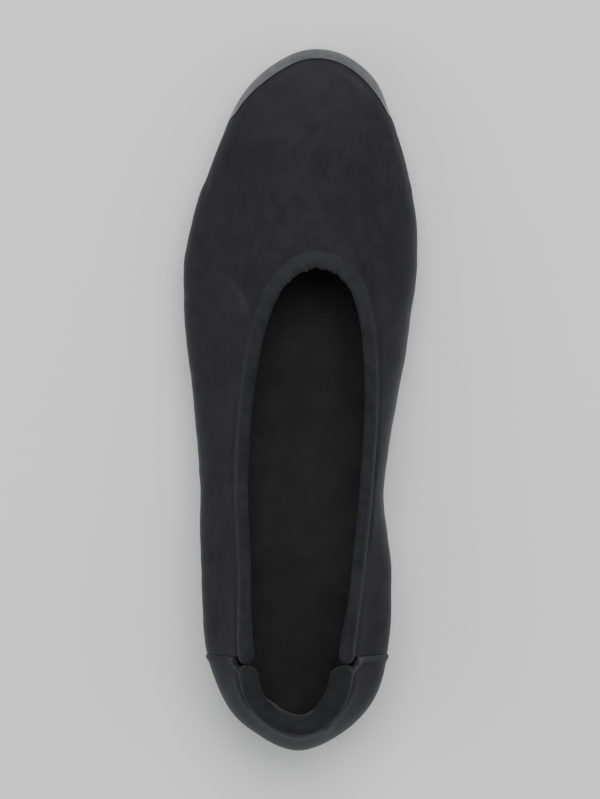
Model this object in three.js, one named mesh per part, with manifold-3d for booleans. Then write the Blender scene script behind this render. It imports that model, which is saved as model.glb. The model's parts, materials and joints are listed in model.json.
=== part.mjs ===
// A left ballet slipper, women's size EU 38: a low suede upper drawn in by an elastic topline,
// a padded heel collar, and a thin rubber sole with a toe bumper and a low stacked heel.
//
// Units are millimetres. +X is the medial (big-toe) side, +Y the toe, +Z up. The origin is on the
// ground, at the middle of the slipper's length and width.
//
// Everything that wraps the foot is one family of surfaces. A station number t runs once round the
// slipper (0 at the back of the heel, up the medial side, 12 at the toe, back down the lateral
// side to 24), and a height number v climbs the wall (-1 inner end of the lasting margin,
// 0 feather edge, 1 widest point, 2 topline). Each layer is that surface at its own depth.

import * as THREE from "three";
import { mergeVertices } from "three/addons/utils/BufferGeometryUtils.js";
import Module from "manifold-3d";

const wasm = await Module();
wasm.setup();

// ---------------------------------------------------------------- driving dimensions

const LENGTH = 245; // heel back to the tip of the toe bumper
const BALL_WIDTH = 81.8; // across the widest part of the upper
const HEEL_WIDTH = 65.8; // across the heel seat

const CEMENT = 0.25; // gap left between cemented layers
const SLIT = 0.3; // gap between two pieces that meet edge to edge

const UPPER = 1.3; // suede
const LINING = 0.8;
const TOE_PUFF = 0.8; // stiffener in the toe
const HEEL_COUNTER = 1.1; // stiffener in the heel
const SEAM_TAPE = 0.4; // tape behind each side seam
const LASTING_MARGIN = 12; // upper turned in under the insole board

const COLLAR_PAD = 5; // foam in the heel collar at its thickest
const COLLAR_FOOT = 1.42; // height v where that foam starts

const BINDING = 0.7; // tape folded over the topline
const BINDING_LEG = 2.6; // how far each leg of the fold reaches down the wall
const ELASTIC = 1.5; // round elastic inside the fold

const OUTSOLE = 3.5; // rubber
const SOLE_SHY = 2; // how far the sole's edge stays inside the upper's widest line
const TOE_SPRING = 7; // lift of the sole at the toe
const SPRING_LENGTH = 62.5; // stretch before the toe that curls up

const HEEL_LIFT = 5; // stacked block under the heel
const TOP_PIECE = 2.5; // rubber that meets the ground
const HEEL_SHY = 1; // lift's edge inside the outsole's edge
const HEEL_LENGTH = 60.5; // from the heel's back to the lift's front face
const WAIST = 70; // stretch before the lift over which the sole comes down

const BOARD = 1.6; // insole board
const FOAM = 2.5; // footbed foam
const SOCK = 0.9; // leather over the foam
const EDGE_ROOM = 0.5; // board, foam and sock inside the lining
const FOOTBED_TUCK = 0.62; // share of the feather edge's tuck that is left at the foam's height

const SHANK = { width: 12, thick: 1.2, rearRoom: 1, frontRoom: 11 };
const RIVET = { stem: 1.5, head: 3, thick: 0.6, inFrom: 9 };
const NAIL = { shaft: 0.75, head: 1.7, thick: 0.5, x: 8, behindBreast: [12, 30] };
const HOLE_ROOM = 0.3; // radial room round a rivet or nail
const CUSHION = { halfWidth: 17, halfLength: 20, fromBack: 36.5, thick: 1.4 };

// The hinge line under the ball: its y at x = 0, its angle across the slipper and how far the toe
// bends up, in degrees. It lies just above the sock.
const BALL_SHARE = 0.651; // how far along the slipper the ball of the foot lies
const FLEX = { y: (BALL_SHARE - 0.5) * LENGTH, skew: 10, bend: 35, clear: 0.4 };
const HEEL_BACK = -LENGTH / 2;
const HEEL_BREAST = HEEL_BACK + HEEL_LENGTH;
const SIDE_SEAM = 2.8; // station where the quarters meet the heel quarter
const STEPS = 2; // facets between two stations
const TINY = 1e-6;

// Stations from the heel back to the toe. y is a share of the length from the heel; medial and
// lateral are shares of the half width that rules there; topline x, y and z are where the wall
// ends; slope is its angle there; bulge is the height of the widest point above the outsole;
// tuck is how far the feather edge lies inside the widest point.
const HALF_BALL = BALL_WIDTH / 2;
const HALF_HEEL = HEEL_WIDTH / 2;
const station = (y, medial, lateral, top, slope, bulge, tuck) =>
  ({ y: (y - 0.5) * LENGTH, medial, lateral, top, slope, bulge, tuck });
const topline = (y, medial, lateral, z) => ({ y: (y - 0.5) * LENGTH, medial, lateral, z });

const STATIONS = [
  station(0.0, -0.7, -0.7, topline(0.027, 0, 0, 56), 80, 18, 4),
  station(0.03, 0.49 * HALF_HEEL, -0.52 * HALF_HEEL, topline(0.044, 9.8, -11.4, 55.2), 78, 18, 4),
  station(0.08, 0.8 * HALF_HEEL, -0.83 * HALF_HEEL, topline(0.084, 16.2, -18.8, 53), 75, 17, 4),
  station(0.153, 0.94 * HALF_HEEL, -1.0 * HALF_HEEL, topline(0.15, 18.1, -20.4, 49), 68, 15, 4),
  station(0.255, 0.96 * HALF_HEEL, -1.04 * HALF_HEEL, topline(0.255, 21.1, -20.2, 44.4), 62, 13, 5),
  station(0.372, 0.71 * HALF_BALL, -0.853 * HALF_BALL, topline(0.376, 24.0, -21.3, 41), 58, 12, 6),
  station(0.5, 0.83 * HALF_BALL, -0.905 * HALF_BALL, topline(0.498, 25.7, -19.5, 39.4), 54, 11, 5),
  station(0.614, 0.945 * HALF_BALL, -0.983 * HALF_BALL, topline(0.592, 24.6, -15.6, 39), 45, 10, 4),
  station(0.712, 1.0 * HALF_BALL, -0.97 * HALF_BALL, topline(0.65, 21.2, -10.4, 39.4), 33, 10, 3.5),
  station(0.826, 0.92 * HALF_BALL, -0.775 * HALF_BALL, topline(0.681, 16.2, -4.4, 40.1), 24, 9.5, 3.5),
  station(0.918, 0.722 * HALF_BALL, -0.52 * HALF_BALL, topline(0.693, 11.7, 0.5, 40.7), 18, 9, 3.5),
  station(0.971, 0.45 * HALF_BALL, -0.163 * HALF_BALL, topline(0.697, 8.4, 3.8, 41), 15, 8.5, 3.5),
  station(0.988, 5.9, 5.9, topline(0.698, 6.1, 6.1, 41.1), 14, 8, 3.5),
];
const TOE = STATIONS.length - 1; // station number of the toe
const ROUND = 2 * TOE; // station number back at the heel

// Where the bumper and the stiffeners live, in stations.
const BUMPER_END = 9;
const PUFF_END = 9.5;
const COUNTER_END = 2.5;
const BUMPER_REACH = 2.75; // how far the bumper stands out at the toe
const BUMPER_THIN = 0.5; // its thickness where it runs out
const BUMPER_LIP = 0.55; // share of that thickness left at its rounded upper edge

// ---------------------------------------------------------------- the last's surface

const smooth = (x) => {
  const s = THREE.MathUtils.clamp(x, 0, 1);
  return s * s * (3 - 2 * s);
};

// One closed curve through a value triple of every station, medial side first, lateral side back.
function ringCurve(medial, lateral) {
  const up = STATIONS.map(medial);
  const down = STATIONS.slice(1, TOE).map(lateral).reverse();
  return new THREE.CatmullRomCurve3([...up, ...down], true, "catmullrom", 0.5);
}

const outlineCurve = ringCurve(
  (s) => new THREE.Vector3(s.medial, s.y, s.bulge),
  (s) => new THREE.Vector3(s.lateral, s.y, s.bulge),
);
const toplineCurve = ringCurve(
  (s) => new THREE.Vector3(s.top.medial, s.top.y, s.top.z),
  (s) => new THREE.Vector3(s.top.lateral, s.top.y, s.top.z),
);
const shapeCurve = ringCurve(
  (s) => new THREE.Vector3(s.slope, s.tuck, 0),
  (s) => new THREE.Vector3(s.slope, s.tuck, 0),
);
const on = (curve, t) => curve.getPoint(THREE.MathUtils.euclideanModulo(t, ROUND) / ROUND);

// Distance in stations from the toe and from the heel.
const fromToe = (t) => Math.abs(THREE.MathUtils.euclideanModulo(t, ROUND) - TOE);
const fromHeel = (t) => TOE - fromToe(t);

// Height of the outsole's top face, which is flat under the ball, rises over the heel lift and
// curls up at the toe.
const HEEL_RISE = HEEL_LIFT + TOP_PIECE + 2 * CEMENT;
function soleTop(y) {
  const rise = HEEL_RISE * smooth((HEEL_BREAST + WAIST - y) / WAIST);
  const spring = Math.max(0, 1 - (LENGTH / 2 - y) / SPRING_LENGTH);
  return OUTSOLE + rise + TOE_SPRING * spring * spring;
}

// The widest line of the upper, pushed in by a depth: position and inward direction in plan.
function outline(t, depth = 0) {
  const here = on(outlineCurve, t);
  const ahead = on(outlineCurve, t + 0.01);
  const behind = on(outlineCurve, t - 0.01);
  const inward = new THREE.Vector2(behind.y - ahead.y, ahead.x - behind.x).normalize();
  return { x: here.x + inward.x * depth, y: here.y + inward.y * depth, bulge: here.z, inward };
}

// The wall from the widest point (s = 0) to the topline (s = 1): a cubic curve that leaves the
// widest point straight up and arrives at the topline at the station's slope.
const HANDLE = 0.42; // length of both handles, as a share of the rise and of the distance
function wallCurve(t) {
  const foot = outline(t);
  const top = on(toplineCurve, t);
  const slope = THREE.MathUtils.degToRad(on(shapeCurve, t).x);
  const start = new THREE.Vector3(foot.x, foot.y, soleTop(foot.y) + foot.bulge);
  const plan = new THREE.Vector3(top.x - start.x, top.y - start.y, 0).normalize();
  const arrive = plan.multiplyScalar(Math.cos(slope)).setZ(Math.sin(slope));
  const reach = HANDLE * start.distanceTo(top);
  const lift = new THREE.Vector3(0, 0, HANDLE * (top.z - start.z));
  return new THREE.CubicBezierCurve3(
    start,
    start.clone().add(lift),
    top.clone().addScaledVector(arrive, -reach),
    top,
  );
}

// Position, outward normal and upward tangent of the suede's outer face on the wall.
function wall(t, s) {
  const point = wallCurve(t).getPoint(s);
  const round = wallCurve(t + 0.01).getPoint(s).sub(wallCurve(t - 0.01).getPoint(s));
  const [low, high] = [Math.max(0, s - 0.01), Math.min(1, s + 0.01)];
  const upward = wallCurve(t).getPoint(high).sub(wallCurve(t).getPoint(low)).normalize();
  const normal = round.cross(upward).normalize();
  return { point, normal, upward };
}

// Every layer has its facets at the same stations, so nested layers never cut into each other. A
// strip that ends between two stations ends on the straight facet between them.
function onFacet(t, pointAt) {
  const low = Math.floor(t * STEPS + TINY) / STEPS;
  const share = (t - low) * STEPS;
  return share < TINY ? pointAt(low) : pointAt(low).lerp(pointAt(low + 1 / STEPS), share);
}

// A point of the layer that lies depth under the suede's outer face. The depth is a number or a
// function of station and height.
function layerPoint(t, v, depth) {
  const at = (station) => (typeof depth === "function" ? depth(station, v) : depth);
  return onFacet(t, (station) => smoothPoint(station, v, at(station)));
}
function smoothPoint(t, v, depth) {
  if (v > 1) {
    const { point, normal } = wall(t, v - 1);
    return point.addScaledVector(normal, -depth);
  }
  const tuck = on(shapeCurve, t).y;
  const turn = Math.max(v, 0) * (Math.PI / 2);
  const margin = Math.max(-v, 0) * LASTING_MARGIN;
  const edge = outline(t, tuck * (1 - Math.sin(turn)) + depth + margin);
  const low = soleTop(edge.y) + CEMENT + depth;
  const widest = outline(t);
  const high = soleTop(widest.y) + widest.bulge;
  return new THREE.Vector3(edge.x, edge.y, low + (high - low) * (1 - Math.cos(turn)));
}

// Room between suede and lining for the stiffeners, opening smoothly towards toe and heel.
function stiffening(t) {
  const toe = (TOE_PUFF + CEMENT) * smooth((TOE - PUFF_END + 1 - fromToe(t)) / 0.9);
  const heel = (HEEL_COUNTER + CEMENT) * smooth((SIDE_SEAM + 1 - fromHeel(t)) / 0.9);
  return toe + heel;
}
const liningDepth = (t) => UPPER + CEMENT + stiffening(t);
const insideDepth = (t) => liningDepth(t) + LINING;

// Foam swell of the heel collar: round in height, from the collar's foot up to the binding, easing
// out at the side seams.
function collarSwell(t, v) {
  const rise = THREE.MathUtils.clamp((v - COLLAR_FOOT) / (BINDING_FOOT - COLLAR_FOOT), 0, 1);
  return COLLAR_PAD * smooth((SIDE_SEAM - fromHeel(t)) / 0.7) * 4 * rise * (1 - rise);
}

// ---------------------------------------------------------------- building solids

const ROWS = [-1, 0, 0.5, 1, 1.2, 1.42, 1.52, 1.64, 1.76, 1.89, 2]; // heights v of the facets
const BINDING_FOOT = 1.89; // lowest height that a leg of the binding reaches
const PUFF_TOP = 1.64; // height where the toe puff ends
const STIFF_TOP = 1.76; // height where the heel stiffener and the seam tapes end
const rowsBetween = (low, high) => ROWS.filter((v) => v >= low - TINY && v <= high + TINY);

// The two ends of a strip and every facet's station between them.
function along(from, to) {
  const first = Math.floor(from * STEPS + TINY) + 1;
  const last = Math.ceil(to * STEPS - TINY) - 1;
  const between = Array.from({ length: last - first + 1 }, (_, i) => (first + i) / STEPS);
  return [from, ...between, to];
}

// A closed solid from sections. A section is a row of pairs, one point on each face of a strip;
// the strip runs from section to section and is closed by its edges and its two ends.
function stripSolid(sections) {
  const across = sections[0].length;
  const positions = sections.flatMap((row) => row.flatMap(([a, b]) => [...a, ...b]));
  const at = (i, k, face) => (i * across + k) * 2 + face;
  const index = [];
  const quad = (a, b, c, d) => index.push(a, b, c, a, c, d);
  for (let i = 0; i + 1 < sections.length; i++) {
    for (let k = 0; k + 1 < across; k++) {
      quad(at(i, k, 0), at(i + 1, k, 0), at(i + 1, k + 1, 0), at(i, k + 1, 0));
      quad(at(i, k, 1), at(i, k + 1, 1), at(i + 1, k + 1, 1), at(i + 1, k, 1));
    }
    quad(at(i, 0, 0), at(i, 0, 1), at(i + 1, 0, 1), at(i + 1, 0, 0));
    const k = across - 1;
    quad(at(i, k, 0), at(i + 1, k, 0), at(i + 1, k, 1), at(i, k, 1));
  }
  const last = sections.length - 1;
  for (let k = 0; k + 1 < across; k++) {
    quad(at(0, k, 0), at(0, k + 1, 0), at(0, k + 1, 1), at(0, k, 1));
    quad(at(last, k, 0), at(last, k, 1), at(last, k + 1, 1), at(last, k + 1, 0));
  }
  const geometry = new THREE.BufferGeometry();
  geometry.setAttribute("position", new THREE.Float32BufferAttribute(positions, 3));
  geometry.setIndex(index);
  return toSolid(geometry);
}

// A three.js geometry as a manifold-3d solid, turned right side out if its faces point in.
function toSolid(geometry) {
  const bare = geometry.index ? geometry.toNonIndexed() : geometry.clone();
  bare.deleteAttribute("normal");
  bare.deleteAttribute("uv");
  const merged = mergeVertices(bare, 1e-4);
  const build = (triVerts) =>
    new wasm.Manifold(
      new wasm.Mesh({ numProp: 3, vertProperties: merged.attributes.position.array, triVerts }),
    );
  const triVerts = new Uint32Array(merged.index.array);
  const solid = build(triVerts);
  return solid.volume() > 0 ? solid : build(triVerts.map((_, i) => triVerts[i - (i % 3) + 2 - (i % 3)]));
}

function toGeometry(solid) {
  const mesh = solid.getMesh();
  const geometry = new THREE.BufferGeometry();
  geometry.setAttribute("position", new THREE.BufferAttribute(mesh.vertProperties, 3));
  geometry.setIndex(new THREE.BufferAttribute(mesh.triVerts, 1));
  geometry.computeVertexNormals();
  return geometry;
}

// A layer of the wall: from one station to another, over some heights, between two depths.
function layer(from, to, heights, outer, inner) {
  const pair = (t, v) => [layerPoint(t, v, outer), layerPoint(t, v, inner)];
  return stripSolid(along(from, to).map((t) => heights.map((v) => pair(t, v))));
}

// A plate that follows the sole: its edge lies inset inside the widest line, its two faces at
// heights above the outsole's top. It spans the stations from heel to toe.
function plate(inset, bottom, top, from = 0, to = TOE) {
  const shift = (t) => (typeof inset === "function" ? inset(t) : inset);
  const level = (height, y) => (typeof height === "function" ? height(y) : soleTop(y) + height);
  const pair = (t) => {
    const { x, y } = outline(t, shift(t));
    return [new THREE.Vector3(x, y, level(top, y)), new THREE.Vector3(x, y, level(bottom, y))];
  };
  const rows = along(from, to).map((t) => [pair(ROUND - t), pair(t)]);
  return stripSolid(rows);
}

function box(sizes, centre) {
  const geometry = new THREE.BoxGeometry(...sizes);
  geometry.translate(...centre);
  return toSolid(geometry);
}

function turned(profile, sides, x, y) {
  const points = profile.map(([r, z]) => new THREE.Vector2(r, z));
  const geometry = new THREE.LatheGeometry(points, sides);
  geometry.rotateX(Math.PI / 2);
  geometry.translate(x, y, 0);
  return toSolid(geometry);
}

// ---------------------------------------------------------------- the bottom's heights

const STACK = UPPER + CEMENT + HEEL_COUNTER + CEMENT + LINING; // thickest lasting margin
const BOARD_BOTTOM = CEMENT + STACK + CEMENT; // heights above the outsole's top
const FOAM_BOTTOM = BOARD_BOTTOM + BOARD + CEMENT;
const SOCK_BOTTOM = FOAM_BOTTOM + FOAM + CEMENT;
const SOCK_TOP = SOCK_BOTTOM + SOCK;

// ---------------------------------------------------------------- cutting at the flex line

const REACH = 2 * LENGTH; // half-space boxes are this large
const hingeHeight = () => soleTop(FLEX.y) + SOCK_TOP + FLEX.clear;

// Everything on one side (sign -1 behind, 1 beyond) of a plane through the hinge line that leans
// back by an angle from upright.
function sideOfHinge(sign, lean) {
  const geometry = new THREE.BoxGeometry(REACH, REACH, REACH);
  geometry.translate(0, sign * (REACH / 2 + SLIT / 2), 0);
  geometry.rotateX(THREE.MathUtils.degToRad(lean));
  geometry.rotateZ(THREE.MathUtils.degToRad(FLEX.skew));
  geometry.translate(0, FLEX.y, hingeHeight());
  return toSolid(geometry);
}
// Behind the hinge the walls lean away from the toe by the whole bend, so the front swings up to
// them. Under the hinge the cut is upright, and opens.
const beyondFlex = sideOfHinge(1, 0);
const beforeFlex = sideOfHinge(-1, 0).intersect(sideOfHinge(-1, FLEX.bend));
const medialHalf = box([REACH, REACH, REACH], [REACH / 2 + 1, 0, 0]);
const lateralHalf = box([REACH, REACH, REACH], [1 - REACH / 2, 0, 0]);

const pieces = new Map(); // node name to { solid, material }
const add = (name, solid, material) => pieces.set(name, { solid, material });

// A layer that the flex line crosses becomes a front piece and, where the foot's opening parts
// it, a medial and a lateral one.
function addFlexed(solid, material, [front, medial, lateral]) {
  const rear = solid.intersect(beforeFlex);
  add(front, solid.intersect(beyondFlex), material);
  add(medial, rear.intersect(medialHalf), material);
  add(lateral, rear.intersect(lateralHalf), material);
}
const threeOf = (name) => ["front", "medial", "lateral"].map((side) => `${name}_${side}`);
function addFlexedPlate(solid, material, front, rear) {
  add(front, solid.intersect(beyondFlex), material);
  add(rear, solid.intersect(beforeFlex), material);
}

// ---------------------------------------------------------------- materials

const finish = (color, roughness, metalness = 0) =>
  new THREE.MeshStandardMaterial({ color, roughness, metalness });
const MATERIALS = {
  suede: finish(0x2e2e31, 0.95),
  binding: finish(0x343437, 0.85),
  lining: finish(0x333335, 0.9),
  sock: finish(0x202021, 0.7),
  rubber: finish(0x3a3a3c, 0.6),
  bumper: finish(0x7c7c7e, 0.5),
  board: finish(0x8a7355, 0.9),
  stiffener: finish(0xc9c2b2, 0.8),
  foam: finish(0xd8d4c8, 0.95),
  elastic: finish(0xb8b8b8, 0.8),
  filler: finish(0x9b7b52, 0.95),
  steel: finish(0xb5b7ba, 0.35, 1),
  brass: finish(0xb08d4a, 0.4, 1),
};

// ---------------------------------------------------------------- upper, lining, stiffeners

const TAPE_HALF = 0.25; // half the seam tape's width, in stations
const seamGap = SLIT / 2 / 18; // half a slit, in stations: neighbours at the seam are 18 mm apart
const FRONT = [SIDE_SEAM + seamGap, ROUND - SIDE_SEAM - seamGap];
const BACK = [-SIDE_SEAM + seamGap, SIDE_SEAM - seamGap];

function makeUpper() {
  const front = layer(...FRONT, ROWS, 0, UPPER);
  addFlexed(front, MATERIALS.suede, ["vamp", "quarter_medial", "quarter_lateral"]);
  add("heel_quarter", layer(...BACK, ROWS, 0, UPPER).subtract(nailHoles()), MATERIALS.suede);
}

function makeLining() {
  const front = layer(...FRONT, ROWS, liningDepth, insideDepth);
  const sides = ["quarter_lining_medial", "quarter_lining_lateral"];
  addFlexed(front, MATERIALS.lining, ["vamp_lining", ...sides]);
  const over = (t, v) => liningDepth(t) + collarSwell(t, v);
  const under = (t, v) => insideDepth(t) + collarSwell(t, v);
  add("heel_lining", layer(...BACK, ROWS, over, under).subtract(nailHoles()), MATERIALS.lining);
}

function makeStiffeners() {
  const first = UPPER + CEMENT;
  const puff = layer(PUFF_END, ROUND - PUFF_END, rowsBetween(0, PUFF_TOP), first, first + TOE_PUFF);
  add("toe_puff", puff, MATERIALS.stiffener);
  const counter = layer(-COUNTER_END, COUNTER_END, rowsBetween(0, STIFF_TOP), first, first + HEEL_COUNTER);
  add("heel_counter", counter, MATERIALS.stiffener);
  const tapeRows = rowsBetween(0.5, STIFF_TOP);
  const tape = (t) => layer(t - TAPE_HALF, t + TAPE_HALF, tapeRows, first, first + SEAM_TAPE);
  add("seam_tape_medial", tape(SIDE_SEAM), MATERIALS.elastic);
  add("seam_tape_lateral", tape(ROUND - SIDE_SEAM), MATERIALS.elastic);
}

// Foam behind the heel lining: it fills the swell, less a cement gap on either side.
function makeCollarPad() {
  const reach = COUNTER_END;
  const outer = (t) => liningDepth(t);
  const inner = (t, v) => liningDepth(t) + collarSwell(t, v) - CEMENT;
  const padRows = rowsBetween(COLLAR_FOOT + 0.1, STIFF_TOP);
  add("heel_collar_pad", layer(-reach, reach, padRows, outer, inner), MATERIALS.foam);
}

// ---------------------------------------------------------------- topline

// A point beside the wall's top edge: depth in from the suede's face, lift past the edge.
function rimPoint(t, depth, lift) {
  return onFacet(t, (station) => {
    const { point, normal, upward } = wall(station, 1);
    return point.addScaledVector(normal, -depth(station)).addScaledVector(upward, lift);
  });
}

// The fold of tape over the topline, as pairs of points round its U. Its hollow holds the elastic.
const HOLLOW = 3 * CEMENT + ELASTIC;
const innerFace = (t, v) => insideDepth(t) + collarSwell(t, v);
function bindingFoot(t) {
  const curve = wallCurve(t);
  const speed = 3 * HANDLE * curve.getPoint(0).distanceTo(curve.getPoint(1));
  return Math.max(BINDING_FOOT, 2 - BINDING_LEG / speed);
}
function bindingSection(t) {
  const foot = bindingFoot(t);
  const outerLeg = [foot, 2].map((v) => [
    layerPoint(t, v, -CEMENT - BINDING),
    layerPoint(t, v, -CEMENT),
  ]);
  const innerLeg = [2, foot].map((v) => [
    layerPoint(t, v, (station, height) => innerFace(station, height) + CEMENT + BINDING),
    layerPoint(t, v, (station, height) => innerFace(station, height) + CEMENT),
  ]);
  const crown = [45, 90, 135].map((degrees) => {
    const turn = THREE.MathUtils.degToRad(degrees);
    return [BINDING, 0].map((extra) => {
      const half = (station) => insideDepth(station) / 2;
      const depth = (station) => half(station) - (half(station) + CEMENT + extra) * Math.cos(turn);
      return rimPoint(t, depth, (HOLLOW + extra) * Math.sin(turn));
    });
  });
  return [...outerLeg, ...crown, ...innerLeg];
}

// The round elastic that lies in the fold, along the middle of the wall's top edge.
function elasticSolid(from, to) {
  const middle = (station) => insideDepth(station) / 2;
  const points = along(from, to).map((t) => rimPoint(t, middle, CEMENT + ELASTIC / 2));
  const section = new THREE.Shape();
  section.absarc(0, 0, ELASTIC / 2, 0, 2 * Math.PI);
  const geometry = new THREE.ExtrudeGeometry(section, {
    steps: 2 * (points.length - 1),
    curveSegments: 3,
    extrudePath: new THREE.CatmullRomCurve3(points, false, "catmullrom", 0.5),
    bevelEnabled: false,
  });
  return toSolid(geometry);
}

const ELASTIC_SHORT = 0.1; // stations by which each elastic stops inside its binding
function makeTopline() {
  const binding = stripSolid(along(...FRONT).map(bindingSection));
  addFlexed(binding, MATERIALS.binding, threeOf("topline_binding"));
  const elastic = elasticSolid(FRONT[0] + ELASTIC_SHORT, FRONT[1] - ELASTIC_SHORT);
  addFlexed(elastic, MATERIALS.elastic, threeOf("topline_elastic"));
  add("heel_binding", stripSolid(along(...BACK).map(bindingSection)), MATERIALS.binding);
  add("heel_elastic", elasticSolid(BACK[0] + ELASTIC_SHORT, BACK[1] - ELASTIC_SHORT), MATERIALS.elastic);
}

// ---------------------------------------------------------------- sole

// How far the bumper stands out from the suede: full at the toe, fading to its ends.
const bumperReach = (t) => BUMPER_REACH * smooth((TOE - BUMPER_END - fromToe(t)) / 2.2 + 0.12);

function makeSole() {
  const underBumper = (t) => smooth((TOE - BUMPER_END + 0.4 - fromToe(t)) / 0.8);
  const edge = (t) => SOLE_SHY - (bumperReach(t) + SOLE_SHY) * underBumper(t);
  const nailed = plate(edge, -OUTSOLE, 0).subtract(nailHoles());
  addFlexedPlate(nailed, MATERIALS.rubber, "outsole_forepart", "outsole_rear");

  const outer = (t, v) => -CEMENT - Math.max(BUMPER_THIN, bumperReach(t) - CEMENT) * (v > 1 ? BUMPER_LIP : 1);
  const wrapped = layer(BUMPER_END, ROUND - BUMPER_END, [0.2, 0.5, 1, 1.1], outer, -CEMENT);
  const ground = plate(-2 * BUMPER_REACH, -2 * OUTSOLE, CEMENT, BUMPER_END - 1, TOE);
  add("toe_bumper", wrapped.subtract(ground), MATERIALS.bumper);
}

function makeHeel() {
  const behindBreast = box([REACH, REACH, REACH], [0, HEEL_BREAST - REACH / 2, 0]);
  const edge = SOLE_SHY + HEEL_SHY;
  const liftTop = () => TOP_PIECE + CEMENT + HEEL_LIFT;
  const lift = plate(edge, () => TOP_PIECE + CEMENT, liftTop, 0, 5);
  const tip = plate(edge, () => 0, () => TOP_PIECE, 0, 5);
  add("heel_lift", lift.intersect(behindBreast).subtract(nailHoles()), MATERIALS.board);
  add("heel_top_piece", tip.intersect(behindBreast), MATERIALS.rubber);
}

// ---------------------------------------------------------------- inside the bottom

const feather = (t) => on(shapeCurve, t).y;
const boardInset = (t) => feather(t) + insideDepth(t) + EDGE_ROOM;
const footbedInset = (t) => FOOTBED_TUCK * feather(t) + insideDepth(t) + EDGE_ROOM;
const fillerInset = (t) => feather(t) + insideDepth(t) + LASTING_MARGIN + EDGE_ROOM;
// How far forward the turned-in margin reaches behind the shank, across the shank's whole width.
function marginFront() {
  const samples = Array.from({ length: 81 }, (_, i) => (i - 40) / 20);
  const edge = samples.map((t) => layerPoint(t, -1, insideDepth));
  return Math.max(...edge.filter(({ x }) => Math.abs(x) <= SHANK.width / 2 + CEMENT).map(({ y }) => y));
}
const shankRear = marginFront() + SHANK.rearRoom;
const shankFront = FLEX.y - SHANK.frontRoom;
const rivetPlaces = [shankRear + RIVET.inFrom, shankFront - RIVET.inFrom];
const nailPlaces = NAIL.behindBreast
  .map((distance) => HEEL_BREAST - distance)
  .flatMap((y) => [[NAIL.x, y], [-NAIL.x, y]]);

function nailHoles() {
  return nailPlaces
    .map(([x, y]) => turned(rod(NAIL.shaft + HOLE_ROOM, -1, 2 * SOCK_TOP), 10, x, y))
    .reduce((all, one) => all.add(one));
}
const rod = (radius, low, high) => [[0, low], [radius, low], [radius, high], [0, high]];

// The steel strip follows the sole's top, set into a channel of the filler.
function shankSolid(room) {
  const rows = [];
  const count = 20;
  for (let i = 0; i <= count; i++) {
    const y = shankRear - room + ((shankFront - shankRear + 2 * room) * i) / count;
    const low = soleTop(y) + BOARD_BOTTOM - CEMENT - SHANK.thick - room;
    const high = soleTop(y) + BOARD_BOTTOM - CEMENT + (room ? 5 : 0);
    const half = SHANK.width / 2 + room;
    rows.push([-half, half].map((x) => [new THREE.Vector3(x, y, high), new THREE.Vector3(x, y, low)]));
  }
  return stripSolid(rows);
}

function makeBottom() {
  const fillerTop = BOARD_BOTTOM - CEMENT;
  const filler = plate(fillerInset, CEMENT, fillerTop, 0.9, TOE - 0.9);
  const channelled = filler.subtract(shankSolid(CEMENT));
  add("forepart_filler", channelled.intersect(beyondFlex), MATERIALS.filler);
  const rivetRoom = rivetPlaces
    .map((y) => turned(rod(RIVET.head + HOLE_ROOM, 0, 30), 12, 0, y))
    .reduce((all, one) => all.add(one));
  const waist = channelled.intersect(beforeFlex).subtract(nailHoles()).subtract(rivetRoom);
  add("waist_filler", waist, MATERIALS.filler);

  const stems = rivetPlaces
    .map((y) => turned(rod(RIVET.stem + HOLE_ROOM, 0, 60), 12, 0, y))
    .reduce((all, one) => all.add(one));
  add("shank", shankSolid(0).subtract(stems), MATERIALS.steel);
  const board = plate(boardInset, BOARD_BOTTOM, BOARD_BOTTOM + BOARD);
  const drilled = board.subtract(stems).subtract(nailHoles());
  addFlexedPlate(drilled, MATERIALS.board, "insole_board_forepart", "insole_board_rear");
}

function makeFootbed() {
  const foam = plate(footbedInset, FOAM_BOTTOM, FOAM_BOTTOM + FOAM);
  const headRoom = [
    ...rivetPlaces.map((y) => [0, y, RIVET.head]),
    ...nailPlaces.map(([x, y]) => [x, y, NAIL.head]),
  ]
    .map(([x, y, head]) => {
      const bottom = soleTop(y) + FOAM_BOTTOM;
      return turned(rod(head + HOLE_ROOM, bottom - 1, bottom + RIVET.thick + HOLE_ROOM), 12, x, y);
    })
    .reduce((all, one) => all.add(one));
  const padBottom = soleTop(cushionY) + FOAM_BOTTOM + FOAM - CUSHION.thick;
  const pocket = cushionSolid(CEMENT, padBottom - CEMENT, padBottom + CUSHION.thick + 5);
  addFlexedPlate(
    foam.subtract(headRoom).subtract(pocket),
    MATERIALS.foam,
    "footbed_foam_forepart",
    "footbed_foam_rear",
  );
  add("heel_cushion", cushionSolid(0, padBottom, padBottom + CUSHION.thick), MATERIALS.rubber);
  const sock = plate(footbedInset, SOCK_BOTTOM, SOCK_TOP);
  addFlexedPlate(sock, MATERIALS.sock, "sock_forepart", "sock_rear");
}

const cushionY = HEEL_BACK + CUSHION.fromBack;
function cushionSolid(room, low, high) {
  const shape = new THREE.Shape();
  shape.absellipse(0, 0, CUSHION.halfWidth + room, CUSHION.halfLength + room, 0, 2 * Math.PI);
  const options = { depth: high - low, bevelEnabled: false, curveSegments: 14 };
  const geometry = new THREE.ExtrudeGeometry(shape, options);
  geometry.translate(0, cushionY, low);
  return toSolid(geometry);
}

// ---------------------------------------------------------------- fasteners

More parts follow.
